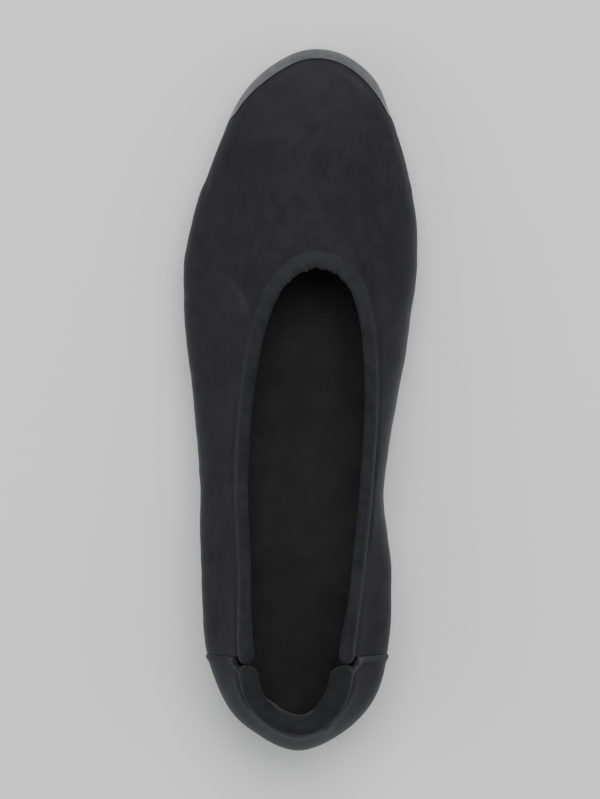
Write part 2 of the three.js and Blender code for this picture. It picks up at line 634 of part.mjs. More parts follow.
function makeFasteners() {
  rivetPlaces.forEach((y, i) => {
    const top = soleTop(y) + BOARD_BOTTOM + BOARD + CEMENT / 2;
    const bottom = soleTop(y) + BOARD_BOTTOM - CEMENT - SHANK.thick - CEMENT / 2;
    const profile = [
      [0, bottom - RIVET.thick],
      [RIVET.head - 0.5, bottom - RIVET.thick],
      [RIVET.head - 0.5, bottom],
      [RIVET.stem, bottom],
      [RIVET.stem, top],
      [RIVET.head, top],
      [RIVET.head - 0.4, top + RIVET.thick],
      [0, top + RIVET.thick],
    ];
    add(["shank_rivet_rear", "shank_rivet_front"][i], turned(profile, 12, 0, y), MATERIALS.brass);
  });
  nailPlaces.forEach(([x, y], i) => {
    const top = soleTop(y) + BOARD_BOTTOM + BOARD + CEMENT / 2;
    const tip = TOP_PIECE + CEMENT + 1;
    const profile = [
      [0, tip],
      [NAIL.shaft, tip + 2],
      [NAIL.shaft, top],
      [NAIL.head, top],
      [NAIL.head, top + NAIL.thick],
      [0, top + NAIL.thick],
    ];
    add(`heel_nail_${i + 1}`, turned(profile, 8, x, y), MATERIALS.steel);
  });
}

// ---------------------------------------------------------------- assembly

makeUpper();
makeLining();
makeStiffeners();
makeCollarPad();
makeTopline();
makeSole();
makeHeel();
makeBottom();
makeFootbed();
makeFasteners();

const slipper = new THREE.Group();
for (const [name, { solid, material }] of pieces) {
  const mesh = new THREE.Mesh(toGeometry(solid), material);
  mesh.name = name;
  slipper.add(mesh);
}

export default slipper;
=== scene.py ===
# %% [markdown]
# # A suede ballet slipper
# A ballet slipper is a soft bag of suede pulled over a foot-shaped last and glued to a thin sole.
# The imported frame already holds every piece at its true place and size, so this lesson makes the fine
# surfaces: suede, tape, padding and rubber, and the layers hidden between them. Lengths are in
# metres, +Y points to the toe, +X to the big toe's side, and the ground is at zero.

import json
import math

import bmesh
import bpy
import mathutils
import numpy as np
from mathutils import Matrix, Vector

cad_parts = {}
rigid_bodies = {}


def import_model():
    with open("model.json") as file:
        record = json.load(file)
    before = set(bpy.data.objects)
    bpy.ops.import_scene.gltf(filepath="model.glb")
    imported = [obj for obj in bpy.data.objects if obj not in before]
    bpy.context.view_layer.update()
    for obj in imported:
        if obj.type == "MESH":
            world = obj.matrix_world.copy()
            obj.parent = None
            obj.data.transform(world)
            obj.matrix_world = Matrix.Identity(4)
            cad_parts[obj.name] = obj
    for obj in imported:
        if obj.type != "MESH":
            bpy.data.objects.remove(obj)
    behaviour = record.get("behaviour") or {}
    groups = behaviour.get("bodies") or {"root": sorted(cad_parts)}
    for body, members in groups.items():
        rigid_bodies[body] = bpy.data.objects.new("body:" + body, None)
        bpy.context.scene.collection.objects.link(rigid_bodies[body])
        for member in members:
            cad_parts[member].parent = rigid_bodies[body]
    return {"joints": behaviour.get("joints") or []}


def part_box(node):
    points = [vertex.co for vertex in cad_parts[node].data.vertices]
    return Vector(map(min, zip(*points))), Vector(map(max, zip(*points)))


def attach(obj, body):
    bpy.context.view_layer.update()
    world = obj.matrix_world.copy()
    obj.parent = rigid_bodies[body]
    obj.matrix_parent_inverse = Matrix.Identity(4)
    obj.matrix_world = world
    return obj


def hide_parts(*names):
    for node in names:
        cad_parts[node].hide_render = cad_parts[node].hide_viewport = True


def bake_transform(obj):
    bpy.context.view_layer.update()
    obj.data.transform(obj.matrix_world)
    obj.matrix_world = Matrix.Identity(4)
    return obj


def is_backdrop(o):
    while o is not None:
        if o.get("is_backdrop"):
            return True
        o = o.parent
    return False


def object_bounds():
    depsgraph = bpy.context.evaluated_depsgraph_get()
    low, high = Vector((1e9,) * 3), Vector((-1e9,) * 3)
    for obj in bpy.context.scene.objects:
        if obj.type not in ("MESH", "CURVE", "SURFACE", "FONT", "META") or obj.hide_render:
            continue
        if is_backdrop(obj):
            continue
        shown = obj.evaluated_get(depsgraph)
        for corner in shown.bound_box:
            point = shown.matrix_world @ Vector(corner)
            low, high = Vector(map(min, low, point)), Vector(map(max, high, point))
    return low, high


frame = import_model()
cad_low, cad_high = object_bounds()
MM = 0.001
LENGTH = -2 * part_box("heel_quarter")[0].y
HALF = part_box("vamp")[1].x
HEEL_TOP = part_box("heel_quarter")[1].z
print(f"slipper {LENGTH / MM:.1f} mm long, {2 * HALF / MM:.1f} mm wide, heel {HEEL_TOP / MM:.1f} mm high")

# %% [markdown]
# ## Camera and floor
# Catalogue pictures of flats are often taken from straight overhead with a long lens. From 2.6 m
# the high heel leans outwards by only a millimetre or two, yet the view still has a little depth,
# which an orthographic camera would lose.

# %% Camera, straight down
CAMERA_HEIGHT = 2.6
FRAME_TALL = 1.14  # how many slipper lengths the frame is tall
SENSOR = 36.0
MIDDLE_HEIGHT = 0.018  # most of the outline lies at this height
AIM_BEHIND = 0.0006  # the aim lies a little behind the middle of the length


def overhead_camera():
    """A camera on the middle line that sees FRAME_TALL slipper lengths at the outline's height."""
    data = bpy.data.cameras.new("overhead_camera")
    data.sensor_width = SENSOR
    distance = CAMERA_HEIGHT - MIDDLE_HEIGHT
    data.lens = SENSOR * distance / (FRAME_TALL * LENGTH)
    camera = bpy.data.objects.new("overhead_camera", data)
    camera.location = (0, -AIM_BEHIND, CAMERA_HEIGHT)
    bpy.context.scene.collection.objects.link(camera)
    bpy.context.scene.camera = camera
    print(f"lens {data.lens:.1f} mm at {CAMERA_HEIGHT} m")


overhead_camera()

# %% [markdown]
# ## The last
# Everything that wraps the foot is the same surface at another depth. Station t runs once round the
# slipper: 0 at the back of the heel, 12 at the toe, 24 back at the heel. Height v climbs the wall:
# 0 at the feather edge where upper meets sole, 1 at the widest line, 2 at the topline. The last is
# given at thirteen stations a side, with a smooth curve through them, and because every layer is
# made from the same curves, the layers stay in step with one another.

# %% Stations of the last
TOE = 12
ROUND = 2 * TOE
# shares: y of length; medial and lateral x of half width; topline y, medial x, lateral x, z of heel
# height; then the topline's slope in degrees, the widest line's height and the tuck, both in mm
STATIONS = np.array(
    [
        (0.000, -0.017, -0.017, 0.027, 0.000, 0.000, 1.000, 80, 18.0, 4.0),
        (0.030, 0.394, -0.418, 0.044, 0.240, -0.279, 0.986, 78, 18.0, 4.0),
        (0.080, 0.644, -0.668, 0.084, 0.396, -0.460, 0.946, 75, 17.0, 4.0),
        (0.153, 0.756, -0.804, 0.150, 0.443, -0.499, 0.875, 68, 15.0, 4.0),
        (0.255, 0.772, -0.837, 0.255, 0.516, -0.494, 0.793, 62, 13.0, 5.0),
        (0.372, 0.710, -0.853, 0.376, 0.587, -0.521, 0.732, 58, 12.0, 6.0),
        (0.500, 0.830, -0.905, 0.498, 0.628, -0.477, 0.704, 54, 11.0, 5.0),
        (0.614, 0.945, -0.983, 0.592, 0.601, -0.381, 0.696, 45, 10.0, 4.0),
        (0.712, 1.000, -0.970, 0.650, 0.518, -0.254, 0.704, 33, 10.0, 3.5),
        (0.826, 0.920, -0.775, 0.681, 0.396, -0.108, 0.716, 24, 9.5, 3.5),
        (0.918, 0.722, -0.520, 0.693, 0.286, 0.012, 0.727, 18, 9.0, 3.5),
        (0.971, 0.450, -0.163, 0.697, 0.205, 0.093, 0.732, 15, 8.5, 3.5),
        (0.988, 0.144, 0.144, 0.698, 0.149, 0.149, 0.734, 14, 8.0, 3.5),
    ]
)


def ring(medial, lateral):
    """Values at the 24 stations of one turn: the medial side up to the toe, the lateral side back."""
    return np.concatenate([medial, lateral[1:TOE][::-1]])


def round_ring(values, t):
    """Catmull-Rom curve through one turn's values: a cubic between each two, whose slope at a value
    is half the step between its neighbours."""
    start = np.floor(t).astype(int)
    s = t - start
    a, b, c, d = (values[(start + k) % ROUND] for k in (-1, 0, 1, 2))
    cubic = 2 * b + (c - a) * s + (2 * a - 5 * b + 4 * c - d) * s**2 + (3 * b - a - 3 * c + d) * s**3
    return cubic / 2


def share_of_length(share):
    """Distance ahead of the slipper's middle, from a share of its length counted from the heel."""
    return (share - 0.5) * LENGTH


Y, XM, XL, TY, TXM, TXL, TZ, SLOPE, BULGE, TUCK = STATIONS.T
OUTLINE_X = ring(XM, XL) * HALF
OUTLINE_Y = ring(share_of_length(Y), share_of_length(Y))
TOPLINE_X = ring(TXM, TXL) * HALF
TOPLINE_Y = ring(share_of_length(TY), share_of_length(TY))
TOPLINE_Z = ring(TZ, TZ) * HEEL_TOP
TOPLINE_SLOPE = np.radians(ring(SLOPE, SLOPE))
WIDEST_HEIGHT = ring(BULGE, BULGE) * MM
FEATHER_TUCK = ring(TUCK, TUCK) * MM
print(f"{len(STATIONS)} stations a side, topline {TOPLINE_Z.min() / MM:.1f} mm at its lowest")

# %% [markdown]
# The sole's top face carries the whole last. It lies flat under the ball, rises over the heel block
# and curls up at the toe, which is called toe spring. The hinge under the ball is read from the
# frame for the two bodies on either side of it; in the real slipper every soft piece that crosses it bends
# there, but here such pieces are baked in place.

# %% Sole line and hinge
OUTSOLE = 3.5 * MM
HEEL_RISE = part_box("outsole_rear")[1].z - OUTSOLE
TOE_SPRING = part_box("outsole_forepart")[1].z - OUTSOLE
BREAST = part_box("heel_lift")[1].y
WAIST = 70 * MM
SPRING_LENGTH = 62.5 * MM
FLEX = frame["joints"][0]


def smooth(x):
    """0 below 0, 1 above 1, and 3x^2 - 2x^3 between."""
    x = np.clip(x, 0, 1)
    return x * x * (3 - 2 * x)


def sole_top(y):
    """Sole thickness, plus the heel's rise behind, plus a parabola of toe spring in front."""
    rise = HEEL_RISE * smooth((BREAST + WAIST - y) / WAIST)
    spring = np.clip(1 - (cad_high.y - y) / SPRING_LENGTH, 0, None)
    return OUTSOLE + rise + TOE_SPRING * spring**2


def bends(piece):
    """Bakes the piece's transform into its mesh; the piece is not bent over the hinge."""
    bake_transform(piece)


# %% [markdown]
# One function gives any point of the upper. Below the widest line the wall is a quarter of an
# ellipse, from the feather edge out to its fullest. Above it is a cubic curve that sets off straight
# up and arrives at the topline at the slope given there. The surface normal is the cross product
# of the two directions along the surface, and a depth moves a point in along it.

# %% The surface
NUDGE = 0.01
HANDLE = 0.42
CEMENT = 0.25 * MM
LASTING_MARGIN = 12 * MM
NOTHING = 0.0


def outline(t, depth=NOTHING):
    """Widest line in plan, pushed in by depth along the normal of its own curve: (x, y)."""
    step_x = round_ring(OUTLINE_X, t + NUDGE) - round_ring(OUTLINE_X, t - NUDGE)
    step_y = round_ring(OUTLINE_Y, t + NUDGE) - round_ring(OUTLINE_Y, t - NUDGE)
    step = np.hypot(step_x, step_y)
    x = round_ring(OUTLINE_X, t) - depth * step_y / step
    y = round_ring(OUTLINE_Y, t) + depth * step_x / step
    return x, y


def unit(vectors):
    """Vectors divided by their own lengths."""
    return vectors / np.linalg.norm(vectors, axis=-1, keepdims=True)


def wall_curve(t, s):
    """Cubic Bezier wall: widest point, straight above it, back along the topline's slope, topline."""
    foot_x, foot_y = outline(t)
    foot = np.stack([foot_x, foot_y, sole_top(foot_y) + round_ring(WIDEST_HEIGHT, t)], -1)
    top = np.stack([round_ring(ring_values, t) for ring_values in (TOPLINE_X, TOPLINE_Y, TOPLINE_Z)], -1)
    slope = round_ring(TOPLINE_SLOPE, t)[..., None]
    plan = unit((top - foot) * [1, 1, 0])
    arrive = plan * np.cos(slope) + np.array([0, 0, 1]) * np.sin(slope)
    reach = HANDLE * np.linalg.norm(top - foot, axis=-1, keepdims=True)
    above = foot + HANDLE * (top - foot) * [0, 0, 1]
    before = top - arrive * reach
    s = s[..., None]
    return (
        (1 - s) ** 3 * foot
        + 3 * (1 - s) ** 2 * s * above
        + 3 * (1 - s) * s**2 * before
        + s**3 * top
    )


def wall_frame(t, s):
    """Point, outward normal and upward tangent of the wall."""
    around = wall_curve(t + NUDGE, s) - wall_curve(t - NUDGE, s)
    low, high = np.clip(s - NUDGE, 0, 1), np.clip(s + NUDGE, 0, 1)
    upward = unit(wall_curve(t, high) - wall_curve(t, low))
    return wall_curve(t, s), unit(np.cross(around, upward)), upward


def surface(t, v, depth=NOTHING):
    """A point of the upper at station t and height v, depth inside the suede's face."""
    t, v, depth = np.broadcast_arrays(*(np.asarray(a, float) for a in (t, v, depth)))
    point, normal, _ = wall_frame(t, np.clip(v - 1, 0, 1))
    high_part = point - normal * depth[..., None]
    turn = np.clip(v, 0, 1) * math.pi / 2
    tuck = round_ring(FEATHER_TUCK, t)
    margin = np.clip(-v, 0, 1) * LASTING_MARGIN
    x, y = outline(t, tuck * (1 - np.sin(turn)) + depth + margin)
    _, widest_y = outline(t)
    low = sole_top(y) + CEMENT + depth
    high = sole_top(widest_y) + round_ring(WIDEST_HEIGHT, t)
    low_part = np.stack([x, y, low + (high - low) * (1 - np.cos(turn))], -1)
    return np.where((v > 1)[..., None], high_part, low_part)


def rim(t, depth, lift):
    """A point beside the topline: depth in from the suede's face, lift past the wall's edge."""
    t, depth, lift = np.broadcast_arrays(*(np.asarray(a, float) for a in (t, depth, lift)))
    point, normal, upward = wall_frame(t, np.ones_like(t))
    return point - normal * depth[..., None] + upward * lift[..., None]


def from_heel(t):
    """Distance from the back of the heel, in stations."""
    turn = np.mod(t, ROUND)
    return np.minimum(turn, ROUND - turn)


throat = surface([TOE], 2)[0]
print(f"throat edge {throat[2] / MM:.1f} mm up, {(cad_high.y - throat[1]) / MM:.1f} mm behind the toe")

# %% [markdown]
# ## Turning arrays into meshes
# A wall of suede or lining is two faces of the same grid, joined along its four borders, so it
# becomes a closed shell with a real thickness. A sole or sock is a ring of profiles that all run
# in to a line down the middle, where the doubled points are merged.

# %% Mesh builders
MERGE = 0.5e-6
HIGHLIGHT_ATTRIBUTE = "painted_highlight"
SHARP = math.radians(48)


def grid_quads(rows, columns, wrap_rows=False, wrap_columns=False):
    """Four corner numbers for each cell of a grid, counting row by row."""
    i = np.arange(rows if wrap_rows else rows - 1)[:, None]
    k = np.arange(columns if wrap_columns else columns - 1)[None, :]
    i, k = np.broadcast_arrays(i, k)
    next_i, next_k = (i + 1) % rows, (k + 1) % columns
    corners = [i * columns + k, next_i * columns + k, next_i * columns + next_k, i * columns + next_k]
    return np.stack([c.ravel() for c in corners], -1)


def closed_object(name, points, quads, uv, has_doubles=True):
    """A mesh object with doubled points merged, faces turned outwards and edges sharp by angle."""
    mesh = bpy.data.meshes.new(name)
    mesh.vertices.add(len(points))
    mesh.vertices.foreach_set("co", points.astype(np.float32).ravel())
    mesh.loops.add(quads.size)
    mesh.loops.foreach_set("vertex_index", quads.astype(np.int32).ravel())
    mesh.polygons.add(len(quads))
    mesh.polygons.foreach_set("loop_start", np.arange(0, quads.size, 4, dtype=np.int32))
    mesh.update(calc_edges=True)
    layer = mesh.uv_layers.new(name="UVMap")
    layer.data.foreach_set("uv", uv[quads.ravel()].astype(np.float32).ravel())
    work = bmesh.new()
    work.from_mesh(mesh)
    if has_doubles:
        bmesh.ops.remove_doubles(work, verts=work.verts, dist=MERGE)
    if work.calc_volume(signed=True) < 0:
        bmesh.ops.reverse_faces(work, faces=work.faces)
    open_edges = sum(not e.is_manifold for e in work.edges)
    volume = work.calc_volume()
    work.to_mesh(mesh)
    work.free()
    mesh.shade_smooth()
    mesh.set_sharp_from_angle(angle=SHARP)
    piece = bpy.data.objects.new(name, mesh)
    bpy.context.scene.collection.objects.link(piece)
    print(f"{name}: {len(mesh.polygons)} faces, {volume / MM**3:.0f} mm3, {open_edges} open edges")
    return piece


def cloth_lengths(points):
    """Distance along the rows' direction and along the columns' direction, in metres: a UV map that
    keeps a weave at its true size."""
    down = np.linalg.norm(np.diff(points, axis=0), axis=-1).mean(1)
    across = np.linalg.norm(np.diff(points, axis=1), axis=-1).mean(0)
    u = np.concatenate([[0], np.cumsum(down)])[:, None]
    v = np.concatenate([[0], np.cumsum(across)])[None, :]
    return np.stack(np.broadcast_arrays(u, v), -1)


def shell(name, outer, inner, material, painted_highlight=None):
    """Two faces of one grid and a strip along each border: a sheet with a thickness. A painted highlight,
    from 0 to 1 at each point of the outer face, is kept as an attribute that the finish can read."""
    rows, columns = outer.shape[:2]
    count = rows * columns
    face = grid_quads(rows, columns)
    number = np.arange(count).reshape(rows, columns)
    border = np.concatenate([number[:-1, 0], number[-1, :-1], number[:0:-1, -1], number[0, :0:-1]])
    after = np.roll(border, -1)
    strip = np.stack([border, border + count, after + count, after], -1)
    quads = np.concatenate([face, face[:, ::-1] + count, strip])
    points = np.concatenate([outer.reshape(-1, 3), inner.reshape(-1, 3)])
    uv = np.tile(cloth_lengths(outer).reshape(-1, 2), (2, 1))
    piece = closed_object(name, points, quads, uv, has_doubles=False)
    if painted_highlight is not None:
        highlight_mask = np.zeros(2 * count, np.float32)
        highlight_mask[:count] = np.broadcast_to(np.clip(painted_highlight, 0, 1), (rows, columns)).ravel()
        piece.data.attributes.new(HIGHLIGHT_ATTRIBUTE, "FLOAT", "POINT").data.foreach_set("value", highlight_mask)
    piece.data.materials.append(material)
    return piece


def tube(name, rings, material):
    """Closed rings one after another, each end drawn in to its middle."""
    first, last = (np.broadcast_to(rings[k].mean(0), rings[k].shape) for k in (0, -1))
    rings = np.concatenate([first[None], rings, last[None]])
    rows, columns = rings.shape[:2]
    points = rings.reshape(-1, 3)
    uv = cloth_lengths(rings).reshape(-1, 2)
    piece = closed_object(name, points, grid_quads(rows, columns, wrap_columns=True), uv)
    piece.data.materials.append(material)
    return piece


SPINE_HEEL = 1.8
SPINE_TOE = 10.6


def spine(t):
    """The line down the middle, halfway between the two sides, stopping short of heel and toe."""
    station = np.clip(from_heel(t), SPINE_HEEL, SPINE_TOE)
    medial, lateral = outline(station), outline(ROUND - station)
    return (medial[0] + lateral[0]) / 2, (medial[1] + lateral[1]) / 2


def sole_point(t, inset, share):
    """A point of the sole's top face, from the spine (share 0) to the edge (share 1), which lies
    inset inside the widest line."""
    edge_x, edge_y = outline(t, inset)
    middle_x, middle_y = spine(t)
    x = middle_x + share * (edge_x - middle_x)
    y = middle_y + share * (edge_y - middle_y)
    return np.stack(np.broadcast_arrays(x, y, sole_top(y)), -1)


# %% [markdown]
# Soft things are never perfectly even. A few long sine waves, laid over one another at fixed random
# angles, make a gentle unevenness that is the same each time the script runs.

# %% Gentle unevenness
WAVE_SPREAD = (0.7, 1.4)  # shortest and longest wave, as shares of the length asked for


def waves(x, y, length, seed, count=9):
    """Mean of count sine waves of about one length, in directions and phases drawn from a seed."""
    draw = np.random.default_rng(seed)
    angle = draw.uniform(0, 2 * math.pi, count)
    phase = draw.uniform(0, 2 * math.pi, count)
    turns = 2 * math.pi / (length * draw.uniform(*WAVE_SPREAD, count))
    along = x[..., None] * np.cos(angle) + y[..., None] * np.sin(angle)
    return np.sin(along * turns + phase).mean(-1) * math.sqrt(count)


sheet_x, sheet_y = np.meshgrid(np.linspace(0, LENGTH, 60), np.linspace(0, LENGTH, 60))
spread = waves(sheet_x, sheet_y, 30 * MM, seed=1)
print(f"unevenness over a sheet runs from {spread.min():.1f} to {spread.max():.1f}")

# %% [markdown]
# ## Finishes
# Each finish is built from procedural textures. Suede is a felt of split fibres, so it needs three
# scales at once: broad patches where the nap has been brushed one way, mottling a few millimetres
# across, and the fibres themselves, which only roughen the light. Sheen adds the pale edge that a nap
# shows when it is seen from the side.

# %% Node helpers
PRINCIPLED = "Principled BSDF"


def finish(name, colour, roughness, **sockets):
    """A material whose constant values sit on the shader's own sockets."""
    material = bpy.data.materials.new(name)
    material.use_nodes = True
    shader = material.node_tree.nodes[PRINCIPLED]
    shader.inputs["Base Color"].default_value = (*colour, 1)
    shader.inputs["Roughness"].default_value = roughness
    for socket, value in sockets.items():
        shader.inputs[socket.replace("_", " ")].default_value = value
    return material, material.node_tree, shader


def place(tree, source="Object", stretch=(1, 1, 1)):
    """Texture coordinates, stretched along the axes."""
    where = tree.nodes.new("ShaderNodeTexCoord")
    mapping = tree.nodes.new("ShaderNodeMapping")
    mapping.inputs["Scale"].default_value = stretch
    tree.links.new(where.outputs[source], mapping.inputs["Vector"])
    return mapping.outputs["Vector"]


def noise(tree, vector, size, detail=3.0, roughness=0.55):
    """Noise whose blotches are about size metres across."""
    node = tree.nodes.new("ShaderNodeTexNoise")
    node.inputs["Scale"].default_value = 1 / size
    node.inputs["Detail"].default_value = detail
    node.inputs["Roughness"].default_value = roughness
    tree.links.new(vector, node.inputs["Vector"])
    return node.outputs["Fac"]


def cells(tree, vector, size):
    """Distance to the nearest of scattered points, about size metres apart."""
    node = tree.nodes.new("ShaderNodeTexVoronoi")
    node.inputs["Scale"].default_value = 1 / size
    tree.links.new(vector, node.inputs["Vector"])
    return node.outputs["Distance"]


def ribs(tree, vector, pitch, direction="X", wobble=0.0):
    """Parallel ribs, pitch metres apart. A wave texture repeats every pi / 10 over its scale."""
    node = tree.nodes.new("ShaderNodeTexWave")
    node.bands_direction = direction
    node.inputs["Scale"].default_value = math.pi / 10 / pitch
    node.inputs["Distortion"].default_value = wobble
    node.inputs["Detail Scale"].default_value = 2.0
    tree.links.new(vector, node.inputs["Vector"])
    return node.outputs["Fac"]


def blend_of(tree, a, b, share):
    """Mostly pattern a, with a share of pattern b."""
    node = tree.nodes.new("ShaderNodeMix")
    node.inputs["Factor"].default_value = share
    tree.links.new(a, node.inputs["A"])
    tree.links.new(b, node.inputs["B"])
    return node.outputs["Result"]


def tint(tree, shader, factor, dark, light, low=0.3, high=0.7):
    """Base colour from dark to light as factor goes from low to high."""
    ramp = tree.nodes.new("ShaderNodeValToRGB")
    ramp.color_ramp.elements[0].position = low
    ramp.color_ramp.elements[1].position = high
    ramp.color_ramp.elements[0].color = (*dark, 1)
    ramp.color_ramp.elements[1].color = (*light, 1)
    tree.links.new(factor, ramp.inputs["Fac"])
    tree.links.new(ramp.outputs["Color"], shader.inputs["Base Color"])
    return ramp.outputs["Color"]


def paint_highlight(tree, shader, colour, wear_and_highlight):
    """Painted highlight: where the piece's highlight attribute is high, its colour goes over to the paler
    one.
    """
    highlight_mask = tree.nodes.new("ShaderNodeAttribute")
    highlight_mask.attribute_name = HIGHLIGHT_ATTRIBUTE
    mix = tree.nodes.new("ShaderNodeMix")
    mix.data_type = "RGBA"
    mix.inputs["B"].default_value = (*wear_and_highlight, 1)
    tree.links.new(highlight_mask.outputs["Fac"], mix.inputs["Factor"])
    tree.links.new(colour, mix.inputs["A"])
    tree.links.new(mix.outputs["Result"], shader.inputs["Base Color"])


def vary_roughness(tree, shader, factor, low, high):
    """Roughness from low to high as factor goes from 0 to 1."""
    spread = tree.nodes.new("ShaderNodeMapRange")
    spread.inputs["To Min"].default_value = low
    spread.inputs["To Max"].default_value = high
    tree.links.new(factor, spread.inputs["Value"])
    tree.links.new(spread.outputs["Result"], shader.inputs["Roughness"])


def relief(tree, shader, layers):
    """Bumps laid one over another: each layer is (height, depth in metres, strength)."""
    below = None
    for height, depth, strength in layers:
        bump = tree.nodes.new("ShaderNodeBump")
        bump.inputs["Distance"].default_value = depth
        bump.inputs["Strength"].default_value = strength
        tree.links.new(height, bump.inputs["Height"])
        if below:
            tree.links.new(below, bump.inputs["Normal"])
        below = bump.outputs["Normal"]
    tree.links.new(below, shader.inputs["Normal"])


# %% [markdown]
# The suede is a violet black. The ramp's dark and light ends sit close together, because black suede
# varies in lightness far more than in hue, and never very much. Where a highlight is painted, both
# suede and tape go over to a paler grey.

# %% Suede and tape
# paler colours of the painted highlights on suede and tape
SUEDE_HIGHLIGHT = (0.062, 0.062, 0.066)
TAPE_HIGHLIGHT = (0.04, 0.04, 0.044)


def suede_finish():
    """Suede: brushed patches and mottling for the colour, a painted highlight where the attribute is high;
    mottling, nap and fibres for the relief.
    """
    dark, light = (0.0090, 0.0087, 0.0115), (0.0178, 0.0170, 0.0212)
    material, tree, shader = finish("black_suede", light, 0.88, Sheen_Weight=0.15, Sheen_Roughness=0.36)
    shader.inputs["Sheen Tint"].default_value = (0.78, 0.80, 0.86, 1)
    shader.inputs["Specular IOR Level"].default_value = 0.22
    vector = place(tree)
    brushed = noise(tree, vector, 24 * MM, detail=3.0, roughness=0.5)
    mottled = noise(tree, place(tree, stretch=(1, 0.7, 1)), 4.5 * MM, detail=4.0, roughness=0.6)
    nap = noise(tree, vector, 0.32 * MM, detail=6.0, roughness=0.7)
    fibres = cells(tree, place(tree, stretch=(1, 0.4, 1)), 0.22 * MM)
    colour = tint(tree, shader, blend_of(tree, brushed, mottled, 0.5), dark, light, low=0.36, high=0.64)
    paint_highlight(tree, shader, colour, SUEDE_HIGHLIGHT)
    vary_roughness(tree, shader, brushed, 0.74, 0.98)
    relief(tree, shader, [(mottled, 0.10 * MM, 0.35), (nap, 0.06 * MM, 0.55), (fibres, 0.03 * MM, 0.35)])
    return material


def tape_finish(name, dark, light):
    """A stretch tape: fine ribs across it, a finer knit along it, cloudy wear, and a painted highlight
    where the attribute is high.
    """
    material, tree, shader = finish(name, light, 0.9, Sheen_Weight=0.05, Sheen_Roughness=0.5)
    shader.inputs["Specular IOR Level"].default_value = 0.16
    vector = place(tree, "UV")
    rib = ribs(tree, vector, 0.62 * MM, "X", wobble=1.2)
    knit = ribs(tree, vector, 0.41 * MM, "Y", wobble=0.8)
    wear_and_highlight = noise(tree, place(tree), 5 * MM, detail=5.0)
    colour = tint(tree, shader, wear_and_highlight, dark, light, 0.35, 0.7)
    paint_highlight(tree, shader, colour, TAPE_HIGHLIGHT)
    vary_roughness(tree, shader, wear_and_highlight, 0.8, 1.0)
    relief(tree, shader, [(rib, 0.10 * MM, 0.55), (knit, 0.05 * MM, 0.4)])
    return material


SUEDE = suede_finish()
TAPE = tape_finish("binding_tape", (0.0105, 0.0105, 0.0125), (0.0195, 0.0195, 0.0225))
COLLAR_TAPE = tape_finish("collar_tape", (0.0085, 0.0085, 0.010), (0.0160, 0.0160, 0.0180))
print("finishes:", SUEDE.name, TAPE.name, COLLAR_TAPE.name)

# %% [markdown]
# Linings are woven twill, socks are a pressed microfibre with a pebble grain, and both are seen only
# deep inside, so their weave is kept coarse enough to survive the distance.

# %% Lining, sock and inner parts
def woven_finish(name, dark, light, pitch):
    """Twill: warp ribs one way, weft ribs the other, with a cloudy tint."""
    material, tree, shader = finish(name, light, 0.9, Sheen_Weight=0.1, Specular_IOR_Level=0.15)
    vector = place(tree, "UV")
    warp = ribs(tree, vector, pitch, "DIAGONAL")
    weft = ribs(tree, vector, pitch * 0.7, "Y", wobble=0.4)
    cloud = noise(tree, place(tree), 9 * MM, detail=5.0)
    tint(tree, shader, cloud, dark, light, 0.35, 0.68)
    vary_roughness(tree, shader, cloud, 0.78, 0.96)
    relief(tree, shader, [(warp, 0.12 * MM, 0.5), (weft, 0.08 * MM, 0.4)])
    return material


def grain_finish(name, dark, light, grain, roughness, specular=0.5):
    """A pebbled or granular surface: scattered cells for the pebbles and soft clouds for the tint."""
    material, tree, shader = finish(name, light, roughness, Specular_IOR_Level=specular)
    vector = place(tree)
    pebbles = cells(tree, vector, grain)
    cloud = noise(tree, vector, 11 * MM, detail=6.0, roughness=0.6)
    tint(tree, shader, cloud, dark, light, 0.32, 0.7)
    vary_roughness(tree, shader, cloud, roughness - 0.1, min(roughness + 0.1, 1))
    relief(tree, shader, [(cloud, 0.2 * MM, 0.2), (pebbles, grain / 6, 0.4)])
    return material


def metal_finish(name, colour, roughness):
    """Drawn metal: fine scratches along the part."""
    material, tree, shader = finish(name, colour, roughness, Metallic=1.0)
    scratches = noise(tree, place(tree, stretch=(1, 0.05, 1)), 0.3 * MM, detail=4.0)
    dull = tuple(0.7 * c for c in colour)
    tint(tree, shader, noise(tree, place(tree), 4 * MM), dull, colour)
    vary_roughness(tree, shader, scratches, roughness - 0.1, roughness + 0.15)
    relief(tree, shader, [(scratches, 0.02 * MM, 0.4)])
    return material


LINING_CLOTH = woven_finish("lining_twill", (0.007, 0.007, 0.008), (0.013, 0.013, 0.0145), 0.7 * MM)
ELASTIC_CLOTH = woven_finish("elastic_braid", (0.02, 0.02, 0.02), (0.04, 0.04, 0.04), 0.4 * MM)
TAPE_CLOTH = woven_finish("seam_tape_cloth", (0.03, 0.03, 0.03), (0.06, 0.06, 0.06), 0.5 * MM)
SOCK_DARK = (0.0065, 0.0065, 0.007)
SOCK_LIGHT = (0.0155, 0.0155, 0.016)
SOCK_SKIN = grain_finish("sock_microfibre", SOCK_DARK, SOCK_LIGHT, 0.8 * MM, 0.8, specular=0.22)
FOAM = grain_finish("cushion_foam", (0.28, 0.27, 0.24), (0.42, 0.40, 0.35), 1.1 * MM, 0.9)
BOARD = grain_finish("insole_board", (0.24, 0.17, 0.10), (0.36, 0.27, 0.17), 0.5 * MM, 0.85)
FILLER = grain_finish("cork_filler", (0.20, 0.11, 0.05), (0.42, 0.26, 0.13), 1.6 * MM, 0.9)
STIFFENER = grain_finish("stiffener_sheet", (0.34, 0.32, 0.27), (0.46, 0.43, 0.37), 0.6 * MM, 0.8)
SOLE_RUBBER = grain_finish("sole_rubber", (0.012, 0.012, 0.013), (0.024, 0.024, 0.025), 0.9 * MM, 0.6)
LIFT_RUBBER = grain_finish("heel_lift_rubber", (0.015, 0.015, 0.016), (0.03, 0.03, 0.03), 1.3 * MM, 0.68)
